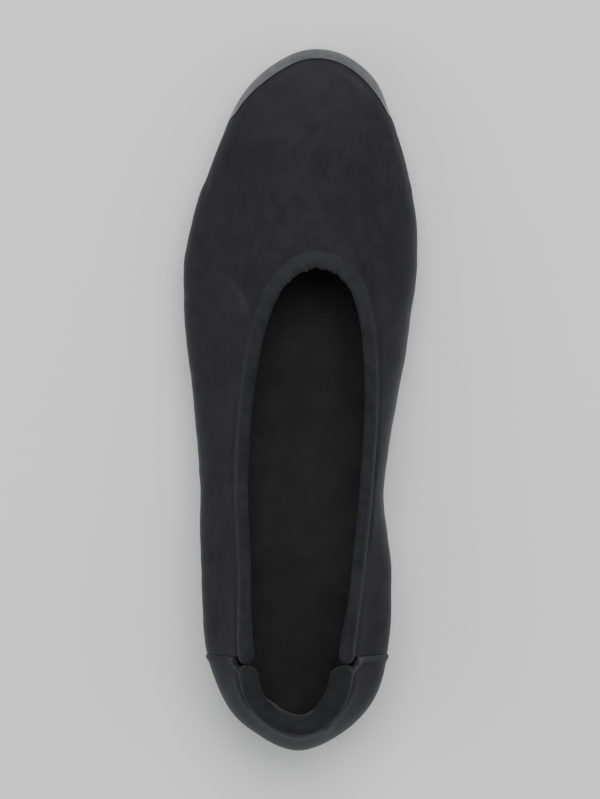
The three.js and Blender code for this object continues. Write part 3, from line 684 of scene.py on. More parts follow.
STEEL = metal_finish("spring_steel", (0.45, 0.45, 0.46), 0.35)
BRASS = metal_finish("rivet_brass", (0.60, 0.43, 0.18), 0.35)
print(len(bpy.data.materials), "finishes so far")

# %% [markdown]
# ## Upper
# The front upper is one piece of suede from the toe back to both side seams. Its lower edge is
# turned in under the insole board, and its upper edge is hidden in the topline tape. First come the
# thicknesses of the layers. Each layer's depth is built on the one outside it, with a little cement
# between, so no two can cross.

# %% Thickness of each layer
SUEDE_THICK = 1.3 * MM
LINING_THICK = 0.8 * MM
PUFF_THICK = 0.8 * MM
COUNTER_THICK = 1.1 * MM
TAPE_THICK = 0.6 * MM
TAPE_LEG = 2.6 * MM
# stations where things start and end
FRONT_FROM = 2.808
FRONT_TO = ROUND - FRONT_FROM
BACK_TO = 2.792
BUMPER_END = 9.0
PUFF_END = 9.5
PUFF_STEP_FROM = PUFF_END - 1
COUNTER_END = 2.5
COUNTER_STEP_TO = COUNTER_END + 1.3
STEP_OVER = 0.9
# the padded collar
COLLAR_FOOT = 1.42
COLLAR_RISE = 0.3
COLLAR_FULL = 1.68
COLLAR_REACH = 2.66
COLLAR_NOSE = 0.24
COLLAR_PAD = 5 * MM
AT_RIM_BACK = 0.16  # share of the pad's fullness left at the rim
AT_RIM_MEDIAL = 0.42  # what the medial side adds
AT_RIM_LATERAL = 0.14  # what the lateral side adds
CORNER_DROP = 0.17
CORNER_FROM = COLLAR_REACH - 0.2
# where the tape covers the wall
TENTH = 0.1
TAPE_SHADE = 0.01
TAPE_FADE = 0.07


def lining_depth(t):
    """Depth of the lining's outer face. It steps in where a stiffener lies behind the suede."""
    puff = (PUFF_THICK + CEMENT) * smooth((from_heel(t) - PUFF_STEP_FROM) / STEP_OVER)
    counter = (COUNTER_THICK + CEMENT) * smooth((COUNTER_STEP_TO - from_heel(t)) / STEP_OVER)
    return SUEDE_THICK + CEMENT + puff + counter


def collar_end(t):
    """1 along the collar, falling to 0 as a quarter circle at its blunt front ends."""
    reach = np.clip((COLLAR_REACH - from_heel(t)) / COLLAR_NOSE, 0, 1)
    return np.sqrt(1 - (1 - reach) ** 2)


def collar_swell(t, v):
    """The padded collar: it swells from its foot, is fullest under the rim and stays plump over it,
    more on the medial side, where the foam has crept forward."""
    added = np.where(np.mod(t, ROUND) < TOE, AT_RIM_MEDIAL, AT_RIM_LATERAL)
    at_rim = AT_RIM_BACK + added * smooth(from_heel(t) / 1.5)
    rising = smooth((v - COLLAR_FOOT) / COLLAR_RISE)
    falling = 1 - (1 - at_rim) * smooth((v - COLLAR_FULL) / (2 - COLLAR_FULL))
    return COLLAR_PAD * collar_end(t) * rising * falling


def top_of_heel(t):
    """Height v of the heel's top edge, which rounds down at its two front corners."""
    return 2 - CORNER_DROP * smooth((from_heel(t) - CORNER_FROM) / COLLAR_NOSE)


def inside_depth(t, v=0.0):
    """Depth of the lining's inner face: all the layers outside it, and the collar's swell."""
    return lining_depth(t) + LINING_THICK + collar_swell(t, v)


def leg_foot(t):
    """Height v at which the topline tape's leg ends: the leg's length over the length of the wall's
    last tenth gives how many tenths it comes down."""
    edge, below = wall_curve(t, np.ones_like(t)), wall_curve(t, np.full_like(t, 1 - TENTH))
    return 2 - TENTH * TAPE_LEG / np.linalg.norm(edge - below, axis=-1)


def below_tape(t, v):
    """1 on the open wall, 0 under the tape."""
    return smooth((leg_foot(t) - TAPE_SHADE - v) / TAPE_FADE)


def stations(start, end, step):
    """A column of stations, evenly spaced and about one step apart."""
    return np.linspace(start, end, round((end - start) / step) + 1)[:, None]


def heights(low, high, count):
    """A row of heights, evenly spaced."""
    return np.linspace(low, high, count)[None, :]


def wall_heights(below, above):
    """Heights from the tip of the lasting margin, round the feather edge, and up the wall."""
    margin = heights(-1, 0, 4)[:, :-1]
    return np.concatenate([margin, heights(0, 1, below)[:, :-1], heights(1, 2, above)], axis=1)


REAR_BODY = FLEX["parent"]
FRONT_BODY = FLEX["child"]
BOTH_BODIES = "both"


def fit_to_frame(piece, body, replaced):
    """Attach the piece to the body that carries it, or, for a piece that crosses the hinge, bake it in
    place without a parent; then hide the frame's nodes that it stands for."""
    if body == BOTH_BODIES:
        bends(piece)
    else:
        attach(piece, body)
    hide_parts(*replaced)


waist_wall = inside_depth(5.0) / MM
heel_wall = inside_depth(0.0) / MM
print(f"walls {waist_wall:.2f} mm thick at the waist, {heel_wall:.2f} mm at the heel")

# %% [markdown]
# Gathers are spaced by length, not by station, because stations crowd together at the throat.

# %% Length along the topline
TURN_STATIONS = np.linspace(-TOE, ROUND + TOE, 80 * TOE + 1)
EDGE_LINE = wall_curve(TURN_STATIONS, np.ones_like(TURN_STATIONS))
EDGE_STEPS = np.linalg.norm(np.diff(EDGE_LINE, axis=0), axis=-1)
EDGE_LENGTH = np.concatenate([[0], np.cumsum(EDGE_STEPS)])


def along_edge(t):
    """Length along the topline from the throat's middle, by adding up short steps of the curve."""
    return np.interp(t, TURN_STATIONS, EDGE_LENGTH) - np.interp(TOE, TURN_STATIONS, EDGE_LENGTH)


print(f"topline {(along_edge(ROUND) - along_edge(0)) / MM:.0f} mm round")

# %% [markdown]
# The wing is creased where the ball of the foot bends: the suede rises slowly to a crisp diagonal
# fold and drops behind it. A thin ridge follows the bumper on the medial side of the toe, where the
# suede was pulled over the puff. Both, and the toe's crown, carry a painted highlight a little paler than
# the suede around them.

# %% Creases and painted highlight in the suede
CREASE_AT = np.array([-20.6, 35.5]) * MM
CREASE_TURN = math.radians(-60)
CREASE_HALF = 7 * MM
CREASE_BOW = 0.13
CREASE_SLOPE = 4 * MM
CREASE_EDGE = 0.9 * MM


def crease(x, y):
    """A fold from 0 to 1: it rises as an exponential to a bowed line, drops beyond it as half a bell,
    and fades out along it as another bell."""
    cos, sin = math.cos(CREASE_TURN), math.sin(CREASE_TURN)
    along = (x - CREASE_AT[0]) * cos + (y - CREASE_AT[1]) * sin
    across = (y - CREASE_AT[1]) * cos - (x - CREASE_AT[0]) * sin + CREASE_BOW * along**2 / CREASE_HALF
    rising = np.exp(np.minimum(across, 0) / CREASE_SLOPE)
    falling = np.exp(-((np.maximum(across, 0) / CREASE_EDGE) ** 2))
    return rising * falling * np.exp(-((along / CREASE_HALF) ** 2) / 2)


CREASE_HEIGHT = 0.8 * MM
RIDGE_STATION = 10.9
RIDGE_HALF = 0.55
RIDGE_AT = 1.2
RIDGE_WIDE = 0.018
RIDGE_HEIGHT = 0.4 * MM
SOFT_DENTS = 0.15 * MM
FINE_DENTS = 0.05 * MM
PULLS = 0.18 * MM
PULLS_REACH = 24 * MM
LIFT_FROM = 0.1  # height above the feather edge where the unevenness starts
# strengths of the painted highlight on the toe's crown, the crease and the ridge
CROWN_HIGHLIGHT = 0.15
CREASE_HIGHLIGHT = 0.16
RIDGE_HIGHLIGHT = 0.2


def toe_ridge(t, v):
    """A bell along the toe times a narrow bell up the wall, on the medial side."""
    along = np.exp(-(((t - RIDGE_STATION) / RIDGE_HALF) ** 2))
    return along * np.exp(-(((v - RIDGE_AT) / RIDGE_WIDE) ** 2))


def suede_lift(t, v):
    """How far the worn suede stands out from the smooth last: long and short waves, raised so that
    they seldom dip below it, the crease, the ridge, and pulls that fan out from the throat."""
    x, y, _ = np.moveaxis(surface(t, v), -1, 0)
    soft = SOFT_DENTS * (waves(x, y, 26 * MM, seed=3) + 1.4)
    fine = FINE_DENTS * (waves(x, y, 7 * MM, seed=4) + 1.4)
    fold = CREASE_HEIGHT * crease(x, y) * smooth((v - 1.0) / 0.15)
    ridge = RIDGE_HEIGHT * toe_ridge(t, v)
    way = along_edge(t)
    near_throat = np.exp(-((way / PULLS_REACH) ** 2)) * smooth((v - 1.66) / 0.25)
    pulls = PULLS * (waves(way + 0 * v, 3 * MM * v + 0 * t, 3.4 * MM, seed=6) + 1.2) * near_throat
    open_wall = smooth((v - LIFT_FROM) / 0.3) * below_tape(t, v)
    behind_bumper = smooth((BUMPER_END - 0.1 - from_heel(t)) / 0.2)
    clear_of_bumper = np.maximum(smooth((v - 1.12) / 0.12), behind_bumper)
    return open_wall * clear_of_bumper * (soft + fine + fold + pulls + ridge)


def suede_painted_highlight(t, v, x, y):
    """Painted highlight: paler over the toe's crown, on the crease and on the ridge."""
    over_toe = smooth((from_heel(t) - 9.6) / 1.8)
    crown = CROWN_HIGHLIGHT * over_toe * smooth((1.7 - v) / 0.5) * smooth((v - 1.08) / 0.1)
    return crown + CREASE_HIGHLIGHT * crease(x, y) * smooth((v - 1) / 0.2) + RIDGE_HIGHLIGHT * toe_ridge(t, v)


def front_upper():
    """Suede from the toe back to the side seams, in one piece with its lasting margin."""
    t = stations(FRONT_FROM, FRONT_TO, 0.035)
    v = wall_heights(12, 76)
    lift = suede_lift(t, v)
    print(f"the suede stands {lift.min() / MM:.2f} to {lift.max() / MM:.2f} mm out from the smooth last")
    outer = surface(t, v, -lift)
    inner = surface(t, v, SUEDE_THICK)
    x, y, _ = np.moveaxis(outer, -1, 0)
    piece = shell("front_upper", outer, inner, SUEDE, painted_highlight=suede_painted_highlight(t, v, x, y))
    fit_to_frame(piece, BOTH_BODIES, ["vamp", "quarter_medial", "quarter_lateral"])


front_upper()

# %% [markdown]
# The margin that is turned in under the board can't be seen, but it is real leather, so each sheet
# starts at the margin's tip and runs round the feather edge before it climbs the wall. The lining is
# the same grid, deeper, and at the heel it is pushed out by the foam of the collar behind it.

# %% Linings
def under_top(v, top):
    """Heights above the widest line, drawn down so that they end at top instead of 2."""
    return np.where(v > 1, 1 + (v - 1) * (top - 1), v)


RUMPLES = 0.12 * MM
GATHERS = 0.014  # share of the collar's swell


def lining(name, start, end, body, replaced, top=lambda t: 2 + 0 * t):
    """Cloth inside the suede: depth from lining_depth, with the collar's swell where there is one."""
    t = stations(start, end, 0.025)
    v = under_top(wall_heights(8, 40), top(t))
    x, y, _ = np.moveaxis(surface(t, v), -1, 0)
    rumple = RUMPLES * (waves(x, y, 12 * MM, seed=8) + 1.6) * smooth((v - 0.6) / 0.3)
    swell = collar_swell(t, v)
    gathers = GATHERS * swell * (waves(along_edge(t) + 0 * v, 3 * MM * v + 0 * t, 10 * MM, seed=9) + 1.4)
    outer = surface(t, v, lining_depth(t) + swell)
    inner = surface(t, v, inside_depth(t, v) + (rumple + gathers) * below_tape(t, v))
    piece = shell(name, outer, inner, LINING_CLOTH)
    fit_to_frame(piece, body, replaced)


FRONT_LININGS = ["vamp_lining", "quarter_lining_medial", "quarter_lining_lateral"]
lining("front_lining", FRONT_FROM, FRONT_TO, BOTH_BODIES, FRONT_LININGS)
lining("collar_lining", -BACK_TO, BACK_TO, REAR_BODY, ["heel_lining"], top=top_of_heel)

# %% [markdown]
# The heel piece is a separate panel behind the side seams. Its front edges are folded in before
# they are stitched down, which leaves a rolled bead along each seam.

# %% Heel quarter
ROLL = 0.55 * MM
SEAM_BEAD = 0.06  # stations
TOP_BEAD = 0.035  # heights
HEEL_DENTS = 0.20 * MM
HEEL_FOLD = 0.35 * MM
FOLD_AT = 0.8
FOLD_LEAN = 0.5
FOLD_WIDE = 0.16
# strengths of the painted highlight on the heel panel's rolled corners and seam bead
MEDIAL_HIGHLIGHT = 0.38
LATERAL_HIGHLIGHT = 0.2
SEAM_HIGHLIGHT = 0.22


def heel_lift_off(t, v):
    """Soft dents, a bead along both front edges and their top corners, and a soft fold that leans
    forward up the medial side."""
    x, y, _ = np.moveaxis(surface(t, v), -1, 0)
    soft = HEEL_DENTS * (waves(x, y, 20 * MM, seed=11) + 1.6)
    bead = ROLL * np.exp(-(((BACK_TO - from_heel(t) - 0.05) / SEAM_BEAD) ** 2))
    corner = smooth((from_heel(t) - COLLAR_REACH + 0.25) / 0.15)
    top_bead = ROLL * np.exp(-(((top_of_heel(t) - 0.04 - v) / TOP_BEAD) ** 2)) * corner
    from_fold = t - FOLD_AT - FOLD_LEAN * (v - 1.8)
    fold = HEEL_FOLD * np.exp(-((from_fold / FOLD_WIDE) ** 2)) * smooth((v - 1.45) / 0.3)
    open_wall = np.maximum(below_tape(t, v), corner)
    return smooth((v - LIFT_FROM) / 0.3) * ((soft + fold) * open_wall + np.maximum(bead, top_bead))


def heel_painted_highlight(t, v):
    """Painted highlight on the rolled top corners and the medial seam's bead, less on the lateral."""
    near_top = smooth((v - top_of_heel(t) + 0.11) / 0.04)
    medial = MEDIAL_HIGHLIGHT * smooth((t - 2.2) / 0.3) * near_top
    lateral = LATERAL_HIGHLIGHT * smooth((-t - 2.2) / 0.3) * near_top
    seam = SEAM_HIGHLIGHT * smooth((t - BACK_TO + 0.12) / 0.06) * smooth((v - 1) / 0.3)
    return medial + lateral + seam


def heel_quarter():
    """Suede round the heel from seam to seam, with its lasting margin."""
    t = stations(-BACK_TO, BACK_TO, 0.02)
    v = under_top(wall_heights(12, 50), top_of_heel(t))
    outer = surface(t, v, -heel_lift_off(t, v))
    piece = shell("heel_panel", outer, surface(t, v, SUEDE_THICK), SUEDE, painted_highlight=heel_painted_highlight(t, v))
    fit_to_frame(piece, REAR_BODY, ["heel_quarter"])


heel_quarter()

# %% [markdown]
# ## Topline
# A stretch tape is folded over the raw edge with a round elastic in the fold. The elastic is sewn in
# stretched, so the tape gathers, most of all round the tight curve of the throat.

# %% Tape and elastic
ELASTIC_THICK = 1.5 * MM
LEG_ROOM = 0.1 * MM
HOLLOW = 3 * CEMENT + ELASTIC_THICK
GATHER_LEAST = 0.05 * MM
GATHER_MORE = 0.36 * MM  # what the middle of the throat adds
GATHER_REACH = 14 * MM
GATHER_APART = 2.6 * MM
FINER_APART = 1.2 * MM
# painted highlight on the tape, strongest at the middle of the throat
THROAT_HIGHLIGHT_MOST = 0.32
THROAT_HIGHLIGHT_REACH = 24 * MM


def throat_gathers(t, turn):
    """Small puckers across the tape, a few millimetres apart, strongest in the middle of the throat
    and on top of the fold."""
    way = along_edge(t)
    height = GATHER_LEAST + GATHER_MORE * np.exp(-((way / GATHER_REACH) ** 2))
    ripple = waves(way + 0 * turn, 0.4 * MM * turn, GATHER_APART, seed=14)
    finer = waves(way, way, FINER_APART, seed=15)
    return height * (0.5 + 0.5 * np.sin(turn)) * np.clip(ripple + 0.4 * finer + 1.4, 0, None) / 1.4


def rounded_end(t, start, end):
    """1 along a tape, falling to nearly 0 at its two ends as a quarter circle does."""
    left = np.clip(np.minimum(t - start, end - t) / 0.2, 0, 1)
    return 0.15 + 0.85 * np.sqrt(1 - (1 - left) ** 2)


def tape_section(t, extra, gathered, fullness):
    """A U: up the outer face, over the fold as half an ellipse, and down the inner face. The legs
    thin out towards their feet, and fullness draws the fold in at the tape's ends."""
    climb = np.linspace(0, 1, 11)[None, :]
    turn = np.linspace(0, math.pi, 23)[None, 1:-1]
    foot = leg_foot(t)
    v = foot + (2 - foot) * climb
    thick = extra * (0.2 + 0.8 * smooth(climb / 0.9))
    puff_low = gathered * throat_gathers(t, np.zeros_like(v)) * smooth(climb / 0.9)
    half = inside_depth(t, 2.0) / 2
    outside = -LEG_ROOM - thick - puff_low
    outer = surface(t, v, half + (outside - half) * fullness)
    down = v[:, ::-1]
    inside = inside_depth(t, down) + LEG_ROOM + thick[:, ::-1]
    inner = surface(t, down, half + (inside - half) * fullness)
    puff = gathered * throat_gathers(t, turn)
    depth = half - (half + LEG_ROOM + extra + puff) * fullness * np.cos(turn)
    crown = rim(t, depth, (HOLLOW + extra + puff) * fullness * np.sin(turn))
    return np.concatenate([outer, crown, inner], axis=1)


def topline_tape(name, start, end, body, replaced, material):
    """The folded tape, with a painted highlight towards the middle of the throat."""
    t = stations(start, end, 0.02)
    full = rounded_end(t, start, end)
    highlight_mask = THROAT_HIGHLIGHT_MOST * np.exp(-((along_edge(t) / THROAT_HIGHLIGHT_REACH) ** 2))
    outer = tape_section(t, TAPE_THICK, 1.0, full)
    piece = shell(name, outer, tape_section(t, 0.0, 0.0, full), material, painted_highlight=highlight_mask)
    fit_to_frame(piece, body, replaced)


def topline_elastic(name, start, end, body, replaced):
    """A round elastic along the middle of the wall's top edge, inside the fold."""
    t = stations(start, end, 0.05)
    turn = np.linspace(0, 2 * math.pi, 17)[None, :-1]
    radius = ELASTIC_THICK / 2
    depth = inside_depth(t, 2.0) / 2 + radius * np.cos(turn)
    piece = tube(name, rim(t, depth, CEMENT + radius + radius * np.sin(turn)), ELASTIC_CLOTH)
    fit_to_frame(piece, body, replaced)


def three(base):
    """Names of the three nodes that one strip over the hinge stands for."""
    return [f"{base}_{part}" for part in ("front", "medial", "lateral")]


FRONT_TAPE = COLLAR_REACH + 0.02
HEEL_TAPE = COLLAR_REACH - 0.01
SHORT = 0.25  # stations by which the elastic stops short of the tape's ends
FRONT_CORE = FRONT_TAPE + SHORT
HEEL_CORE = HEEL_TAPE - SHORT
topline_tape("topline_tape", FRONT_TAPE, ROUND - FRONT_TAPE, BOTH_BODIES, three("topline_binding"), TAPE)
topline_tape("heel_tape", -HEEL_TAPE, HEEL_TAPE, REAR_BODY, ["heel_binding"], COLLAR_TAPE)
CORE_NODES = three("topline_elastic")
topline_elastic("topline_elastic_core", FRONT_CORE, ROUND - FRONT_CORE, BOTH_BODIES, CORE_NODES)
topline_elastic("heel_elastic_core", -HEEL_CORE, HEEL_CORE, REAR_BODY, ["heel_elastic"])

# %% [markdown]
# ## Inside the upper
# The stiffeners and the seam tapes are glued between suede and lining. They are never seen unless
# the slipper is taken apart, yet each is its own sheet with its own finish.

# %% Stiffeners, seam tapes and collar foam
STIFF_LOW = 0.15
STIFF_TOP = 1.76
PUFF_TOP = 1.64
FOAM_LEAST = 0.1 * MM
SEAM_TAPE = 0.4 * MM
SEAM_TAPE_LOW = 0.5
SEAM_TAPE_HALF = 0.25
SIDE_SEAM = 2.8


def inner_sheet(name, ends, rise, depths, material):
    """A closed sheet over a range of stations and a range of heights. depths(t, v) gives its outer
    and its inner face."""
    t = stations(*ends, 0.06)
    v = heights(*rise, 24)
    outer, inner = depths(t, v)
    return shell(name, surface(t, v, outer), surface(t, v, inner), material)


def behind_suede(thickness):
    """Depths of a sheet that is glued to the suede's inner face."""
    outer = SUEDE_THICK + CEMENT
    return lambda t, v: (outer + 0 * v, outer + 0 * v + thickness)


def foam_depths(t, v):
    """The foam fills the collar's swell, from behind the stiffener to just short of the lining."""
    outer = lining_depth(t) + 0 * v
    return outer, lining_depth(t) + np.maximum(collar_swell(t, v) - CEMENT, FOAM_LEAST)


puff_ends = (PUFF_END, ROUND - PUFF_END)
puff = inner_sheet("toe_puff_sheet", puff_ends, (STIFF_LOW, PUFF_TOP), behind_suede(PUFF_THICK), STIFFENER)
fit_to_frame(puff, FRONT_BODY, ["toe_puff"])

heel_ends = (-COUNTER_END, COUNTER_END)
stiff_rise = (STIFF_LOW, STIFF_TOP)
counter = inner_sheet("heel_counter_sheet", heel_ends, stiff_rise, behind_suede(COUNTER_THICK), STIFFENER)
fit_to_frame(counter, REAR_BODY, ["heel_counter"])

foam_rise = (COLLAR_FOOT + 0.06, STIFF_TOP + 0.16)
foam_pad = inner_sheet("collar_foam", heel_ends, foam_rise, foam_depths, FOAM)
fit_to_frame(foam_pad, REAR_BODY, ["heel_collar_pad"])

for side, seam in (("medial", SIDE_SEAM), ("lateral", ROUND - SIDE_SEAM)):
    tape_ends = (seam - SEAM_TAPE_HALF, seam + SEAM_TAPE_HALF)
    tape_rise = (SEAM_TAPE_LOW, STIFF_TOP)
    strip = inner_sheet(
        f"seam_tape_{side}_cloth", tape_ends, tape_rise, behind_suede(SEAM_TAPE), TAPE_CLOTH
    )
    fit_to_frame(strip, REAR_BODY, [f"seam_tape_{side}"])

# %% [markdown]
# ## Bottom
# Board, foam, sock and outsole are flat plates that follow the sole line. Each plate is a ring of
# profiles from the middle line out to the edge, round it and back in again, so its edge can be
# rounded as a cut edge really is.

# %% Plates that follow the sole
EDGE_ROOM = 0.5 * MM
FOOTBED_TUCK = 0.62
BOARD_BOTTOM = 4.2 * MM
FOAM_BOTTOM = 6.05 * MM
SOCK_BOTTOM = 8.8 * MM
SOCK_TOP = 9.7 * MM
SHANK_THICK = 1.2 * MM
SOLE_SHY = 2 * MM
HEEL_SHY = 1 * MM
BUMPER_REACH = 2.6 * MM
BUMPER_THIN = 0.35 * MM
SHARES = np.concatenate([np.linspace(0, 0.9, 16)[:-1], np.linspace(0.9, 1, 8)])


def plate(name, inset, bottom, top, material, rounding=0.4 * MM, ends=0.0):
    """A closed plate: inset(t) shapes its edge; bottom and top are functions of (x, y, share)."""
    t = np.linspace(0, ROUND, 24 * 16 + 1)[:-1, None]
    t = np.where(t < TOE, np.clip(t, ends, TOE - ends), ROUND - np.clip(ROUND - t, ends, TOE - ends))
    share = np.concatenate([SHARES, np.ones(5), SHARES[::-1]])[None, :]
    side = np.linspace(0, math.pi, 7)[1:-1]
    curl = np.concatenate([np.zeros(len(SHARES)), np.sin(side), np.zeros(len(SHARES))])[None, :]
    edge = inset(t) + rounding * (1 - curl)
    flat = sole_point(t, edge, share)
    x, y = flat[..., 0], flat[..., 1]
    low, high = bottom(x, y, share), top(x, y, share)
    fall = np.concatenate([np.zeros(len(SHARES)), (1 - np.cos(side)) / 2, np.ones(len(SHARES))])[None, :]
    flat[..., 2] = high + (low - high) * fall
    rows, columns = flat.shape[:2]
    uv = flat[..., :2].reshape(-1, 2)
    piece = closed_object(name, flat.reshape(-1, 3), grid_quads(rows, columns, wrap_rows=True), uv)
    piece.data.materials.append(material)
    return piece


def above_sole(height):
    """A face that follows the sole line at a set height above it."""
    return lambda x, y, share: sole_top(y) + height


def bumper_reach(t):
    """How far the toe bumper stands out from the suede. On the medial side it stops sooner and more
    suddenly than on the lateral side."""
    is_medial = np.mod(t, ROUND) < TOE
    starts_at = BUMPER_END + np.where(is_medial, 0.62, 0.3)
    grows_over = np.where(is_medial, 1.0, 1.6)
    return BUMPER_REACH * smooth((from_heel(t) - starts_at) / grows_over)


def outsole_inset(t):
    """The outsole stops short of the widest line, but reaches out under the bumper."""
    under_bumper = smooth((from_heel(t) - BUMPER_END + 0.4) / 0.8)
    return SOLE_SHY - (bumper_reach(t) + SOLE_SHY) * under_bumper


outsole = plate("outsole", outsole_inset, above_sole(-OUTSOLE), above_sole(0), SOLE_RUBBER, 0.7 * MM)
fit_to_frame(outsole, BOTH_BODIES, ["outsole_forepart", "outsole_rear"])

# %% [markdown]
# The bumper is a moulded strip of rubber that wraps the toe. Seen from above it is a bright band,
# because its rounded top edge is glossy where the suede is not.

# %% Toe bumper
BUMPER_RUBBER, bumper_tree, bumper_shader = finish("bumper_rubber", (0.085, 0.085, 0.09), 0.34)
bumper_cloud = noise(bumper_tree, place(bumper_tree), 3 * MM, detail=5.0)
tint(bumper_tree, bumper_shader, bumper_cloud, (0.065, 0.065, 0.07), (0.105, 0.105, 0.11), 0.35, 0.7)
vary_roughness(bumper_tree, bumper_shader, bumper_cloud, 0.26, 0.46)
relief(bumper_tree, bumper_shader, [(noise(bumper_tree, place(bumper_tree), 0.5 * MM), 0.03 * MM, 0.3)])


BUMPER_LOW = 0.12
BUMPER_LEAST = 0.12  # height at its ends
BUMPER_MORE = 0.86  # what it climbs beyond that
SHOULDER = 0.3  # share of the height that rounds over at the top
SHOULDER_POWER = 2.4


def toe_bumper():
    """A strip round the toe. Its section is a closed loop: up beside the suede, over the top as a
    quarter of a superellipse, and down the outer face. Near its ends the top runs down to the sole."""
    t = stations(BUMPER_END, ROUND - BUMPER_END, 0.03)
    climb = np.linspace(0, 1, 13)[None, :]
    tall = BUMPER_LEAST + BUMPER_MORE * smooth((from_heel(t) - BUMPER_END) / 0.9)
    inner = surface(t, BUMPER_LOW + tall * climb, -CEMENT)
    over = 1 - np.clip(climb / SHOULDER, 0, 1)
    shoulder = (1 - over**SHOULDER_POWER) ** (1 / SHOULDER_POWER)
    reach = np.maximum(BUMPER_THIN, bumper_reach(t))
    depth = -CEMENT - 0.05 * MM - (reach - CEMENT) * shoulder
    outer = surface(t, BUMPER_LOW + tall * (1 - climb), depth)
    loops = np.concatenate([inner, outer], axis=1)
    loops[..., 2] = np.maximum(loops[..., 2], sole_top(loops[..., 1]) + CEMENT)
    piece = tube("toe_bumper_strip", loops, BUMPER_RUBBER)
    fit_to_frame(piece, FRONT_BODY, ["toe_bumper"])


toe_bumper()

# %% [markdown]
# Inside lie the cork filler, the insole board, the foam footbed and the sock, in that order. The
# sock is the one that shows, so its edge is turned up a little where it meets the lining.

# %% Filler, board, foam and sock
def feather(t):
    """How far the feather edge is tucked in from the widest line."""
    return round_ring(FEATHER_TUCK, t)


def wall_inset(t, height):
    """How far the inner wall lies inside the widest line at a height above the sole."""
    turn = np.arccos(np.clip(1 - height / round_ring(WIDEST_HEIGHT, t), 0, 1))
    return feather(t) * (1 - np.sin(turn))


def shank_channel(x, y, share):
    """The filler's top, with a channel for the steel shank."""
    half_width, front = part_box("shank")[1].xy
    inside = smooth((half_width + 1.5 * MM - abs(x)) / MM) * smooth((front + 2 * MM - y) / MM)
    return sole_top(y) + BOARD_BOTTOM - CEMENT - inside * (SHANK_THICK + CEMENT)


def sock_top(x, y, share):
    """The sock's face: softly uneven, with its edge turned up towards the lining."""
    curl = 1.1 * MM * np.clip((share - 0.86) / 0.14, 0, 1) ** 2
    soft = 0.15 * MM * waves(x, y, 35 * MM, seed=21)
    return sole_top(y) + SOCK_TOP + curl + soft


def insole_layer(name, inset, bottom, top, material, replaced, slot, **shape):
    """A plate that crosses the hinge, baked in place."""
    piece = plate(name, inset, bottom, top, material, **shape)
    fit_to_frame(piece, BOTH_BODIES, replaced)
    return piece


insole_layer(
    "cork_filler",
    lambda t: feather(t) + inside_depth(t) + LASTING_MARGIN + EDGE_ROOM,
    above_sole(CEMENT),
    shank_channel,
    FILLER,
    ["forepart_filler", "waist_filler"],
    "filler",
    ends=0.9,
)
insole_layer(
    "insole_board",
    lambda t: feather(t) + inside_depth(t) + EDGE_ROOM,
    above_sole(BOARD_BOTTOM),
    above_sole(FOAM_BOTTOM - CEMENT),
    BOARD,
    ["insole_board_forepart", "insole_board_rear"],
    "board",
)
footbed = insole_layer(
    "footbed_foam",
    lambda t: FOOTBED_TUCK * feather(t) + inside_depth(t) + EDGE_ROOM,
    above_sole(FOAM_BOTTOM),
    above_sole(SOCK_BOTTOM - CEMENT),
    FOAM,
    ["footbed_foam_forepart", "footbed_foam_rear"],
    "foam",
    rounding=0.8 * MM,
)
insole_layer(
    "sock",
    lambda t: inside_depth(t) + wall_inset(t, SOCK_TOP) + 0.7 * MM,
    lambda x, y, share: sock_top(x, y, share) - (SOCK_TOP - SOCK_BOTTOM),
    sock_top,
    SOCK_SKIN,
    ["sock_forepart", "sock_rear"],
    "sock",
)

# %% [markdown]
# The heel is a low stack: a rubber lift and a harder top piece that takes the wear.

# %% Heel
def heel_block(name, bottom, top, replaced, material):
    """The rear of a plate: an upright plane at the heel's breast cuts the rest off, and a flat face
    closes the cut."""
    block = plate(
        name,
        lambda t: SOLE_SHY + HEEL_SHY + 0 * t,
        lambda x, y, share: bottom + 0 * y,
        lambda x, y, share: top + 0 * y,
        material,
        rounding=0.5 * MM,
    )
    work = bmesh.new()
    work.from_mesh(block.data)
    everything = work.verts[:] + work.edges[:] + work.faces[:]
    bmesh.ops.bisect_plane(
        work, geom=everything, plane_co=(0, BREAST, 0), plane_no=(0, 1, 0), clear_outer=True
    )
    bmesh.ops.holes_fill(work, edges=[edge for edge in work.edges if edge.is_boundary])
    open_edges = sum(not edge.is_manifold for edge in work.edges)
    print(f"{name}, cut: {work.calc_volume() / MM**3:.0f} mm3, {open_edges} open edges")
    work.to_mesh(block.data)
    work.free()
    fit_to_frame(block, REAR_BODY, [replaced])


lift_low, lift_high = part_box("heel_lift")
tip_low, tip_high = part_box("heel_top_piece")
heel_block("stacked_lift", lift_low.z, lift_high.z, "heel_lift", LIFT_RUBBER)
heel_block("heel_tip", tip_low.z, tip_high.z, "heel_top_piece", SOLE_RUBBER)


def heel_pad():
    """A lens of soft gel in the foam: an ellipse in plan, its edge rounded by half a circle."""
    low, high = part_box("heel_cushion")
    turn = np.linspace(0, 2 * math.pi, 65)[:-1][:, None]
    rise = np.linspace(0, math.pi, 13)[None, :]
    middle = (low + high) / 2
    half = (high - low) / 2
    out = np.sin(rise) ** 0.4
    x = middle.x + half.x * out * np.cos(turn)
    y = middle.y + half.y * out * np.sin(turn)
    z = middle.z - half.z * np.cos(rise) + 0 * turn
    points = np.stack(np.broadcast_arrays(x, y, z), -1)
    uv = points[..., :2].reshape(-1, 2)
    quads = grid_quads(*points.shape[:2], wrap_rows=True)
    piece = closed_object("gel_heel_pad", points.reshape(-1, 3), quads, uv)
    piece.data.materials.append(SOLE_RUBBER)
    fit_to_frame(piece, REAR_BODY, ["heel_cushion"])


heel_pad()

# %% [markdown]
# The steel shank, its rivets and the heel nails are hard, simple parts, so the frame's own solids
# stay, and only take a metal finish.

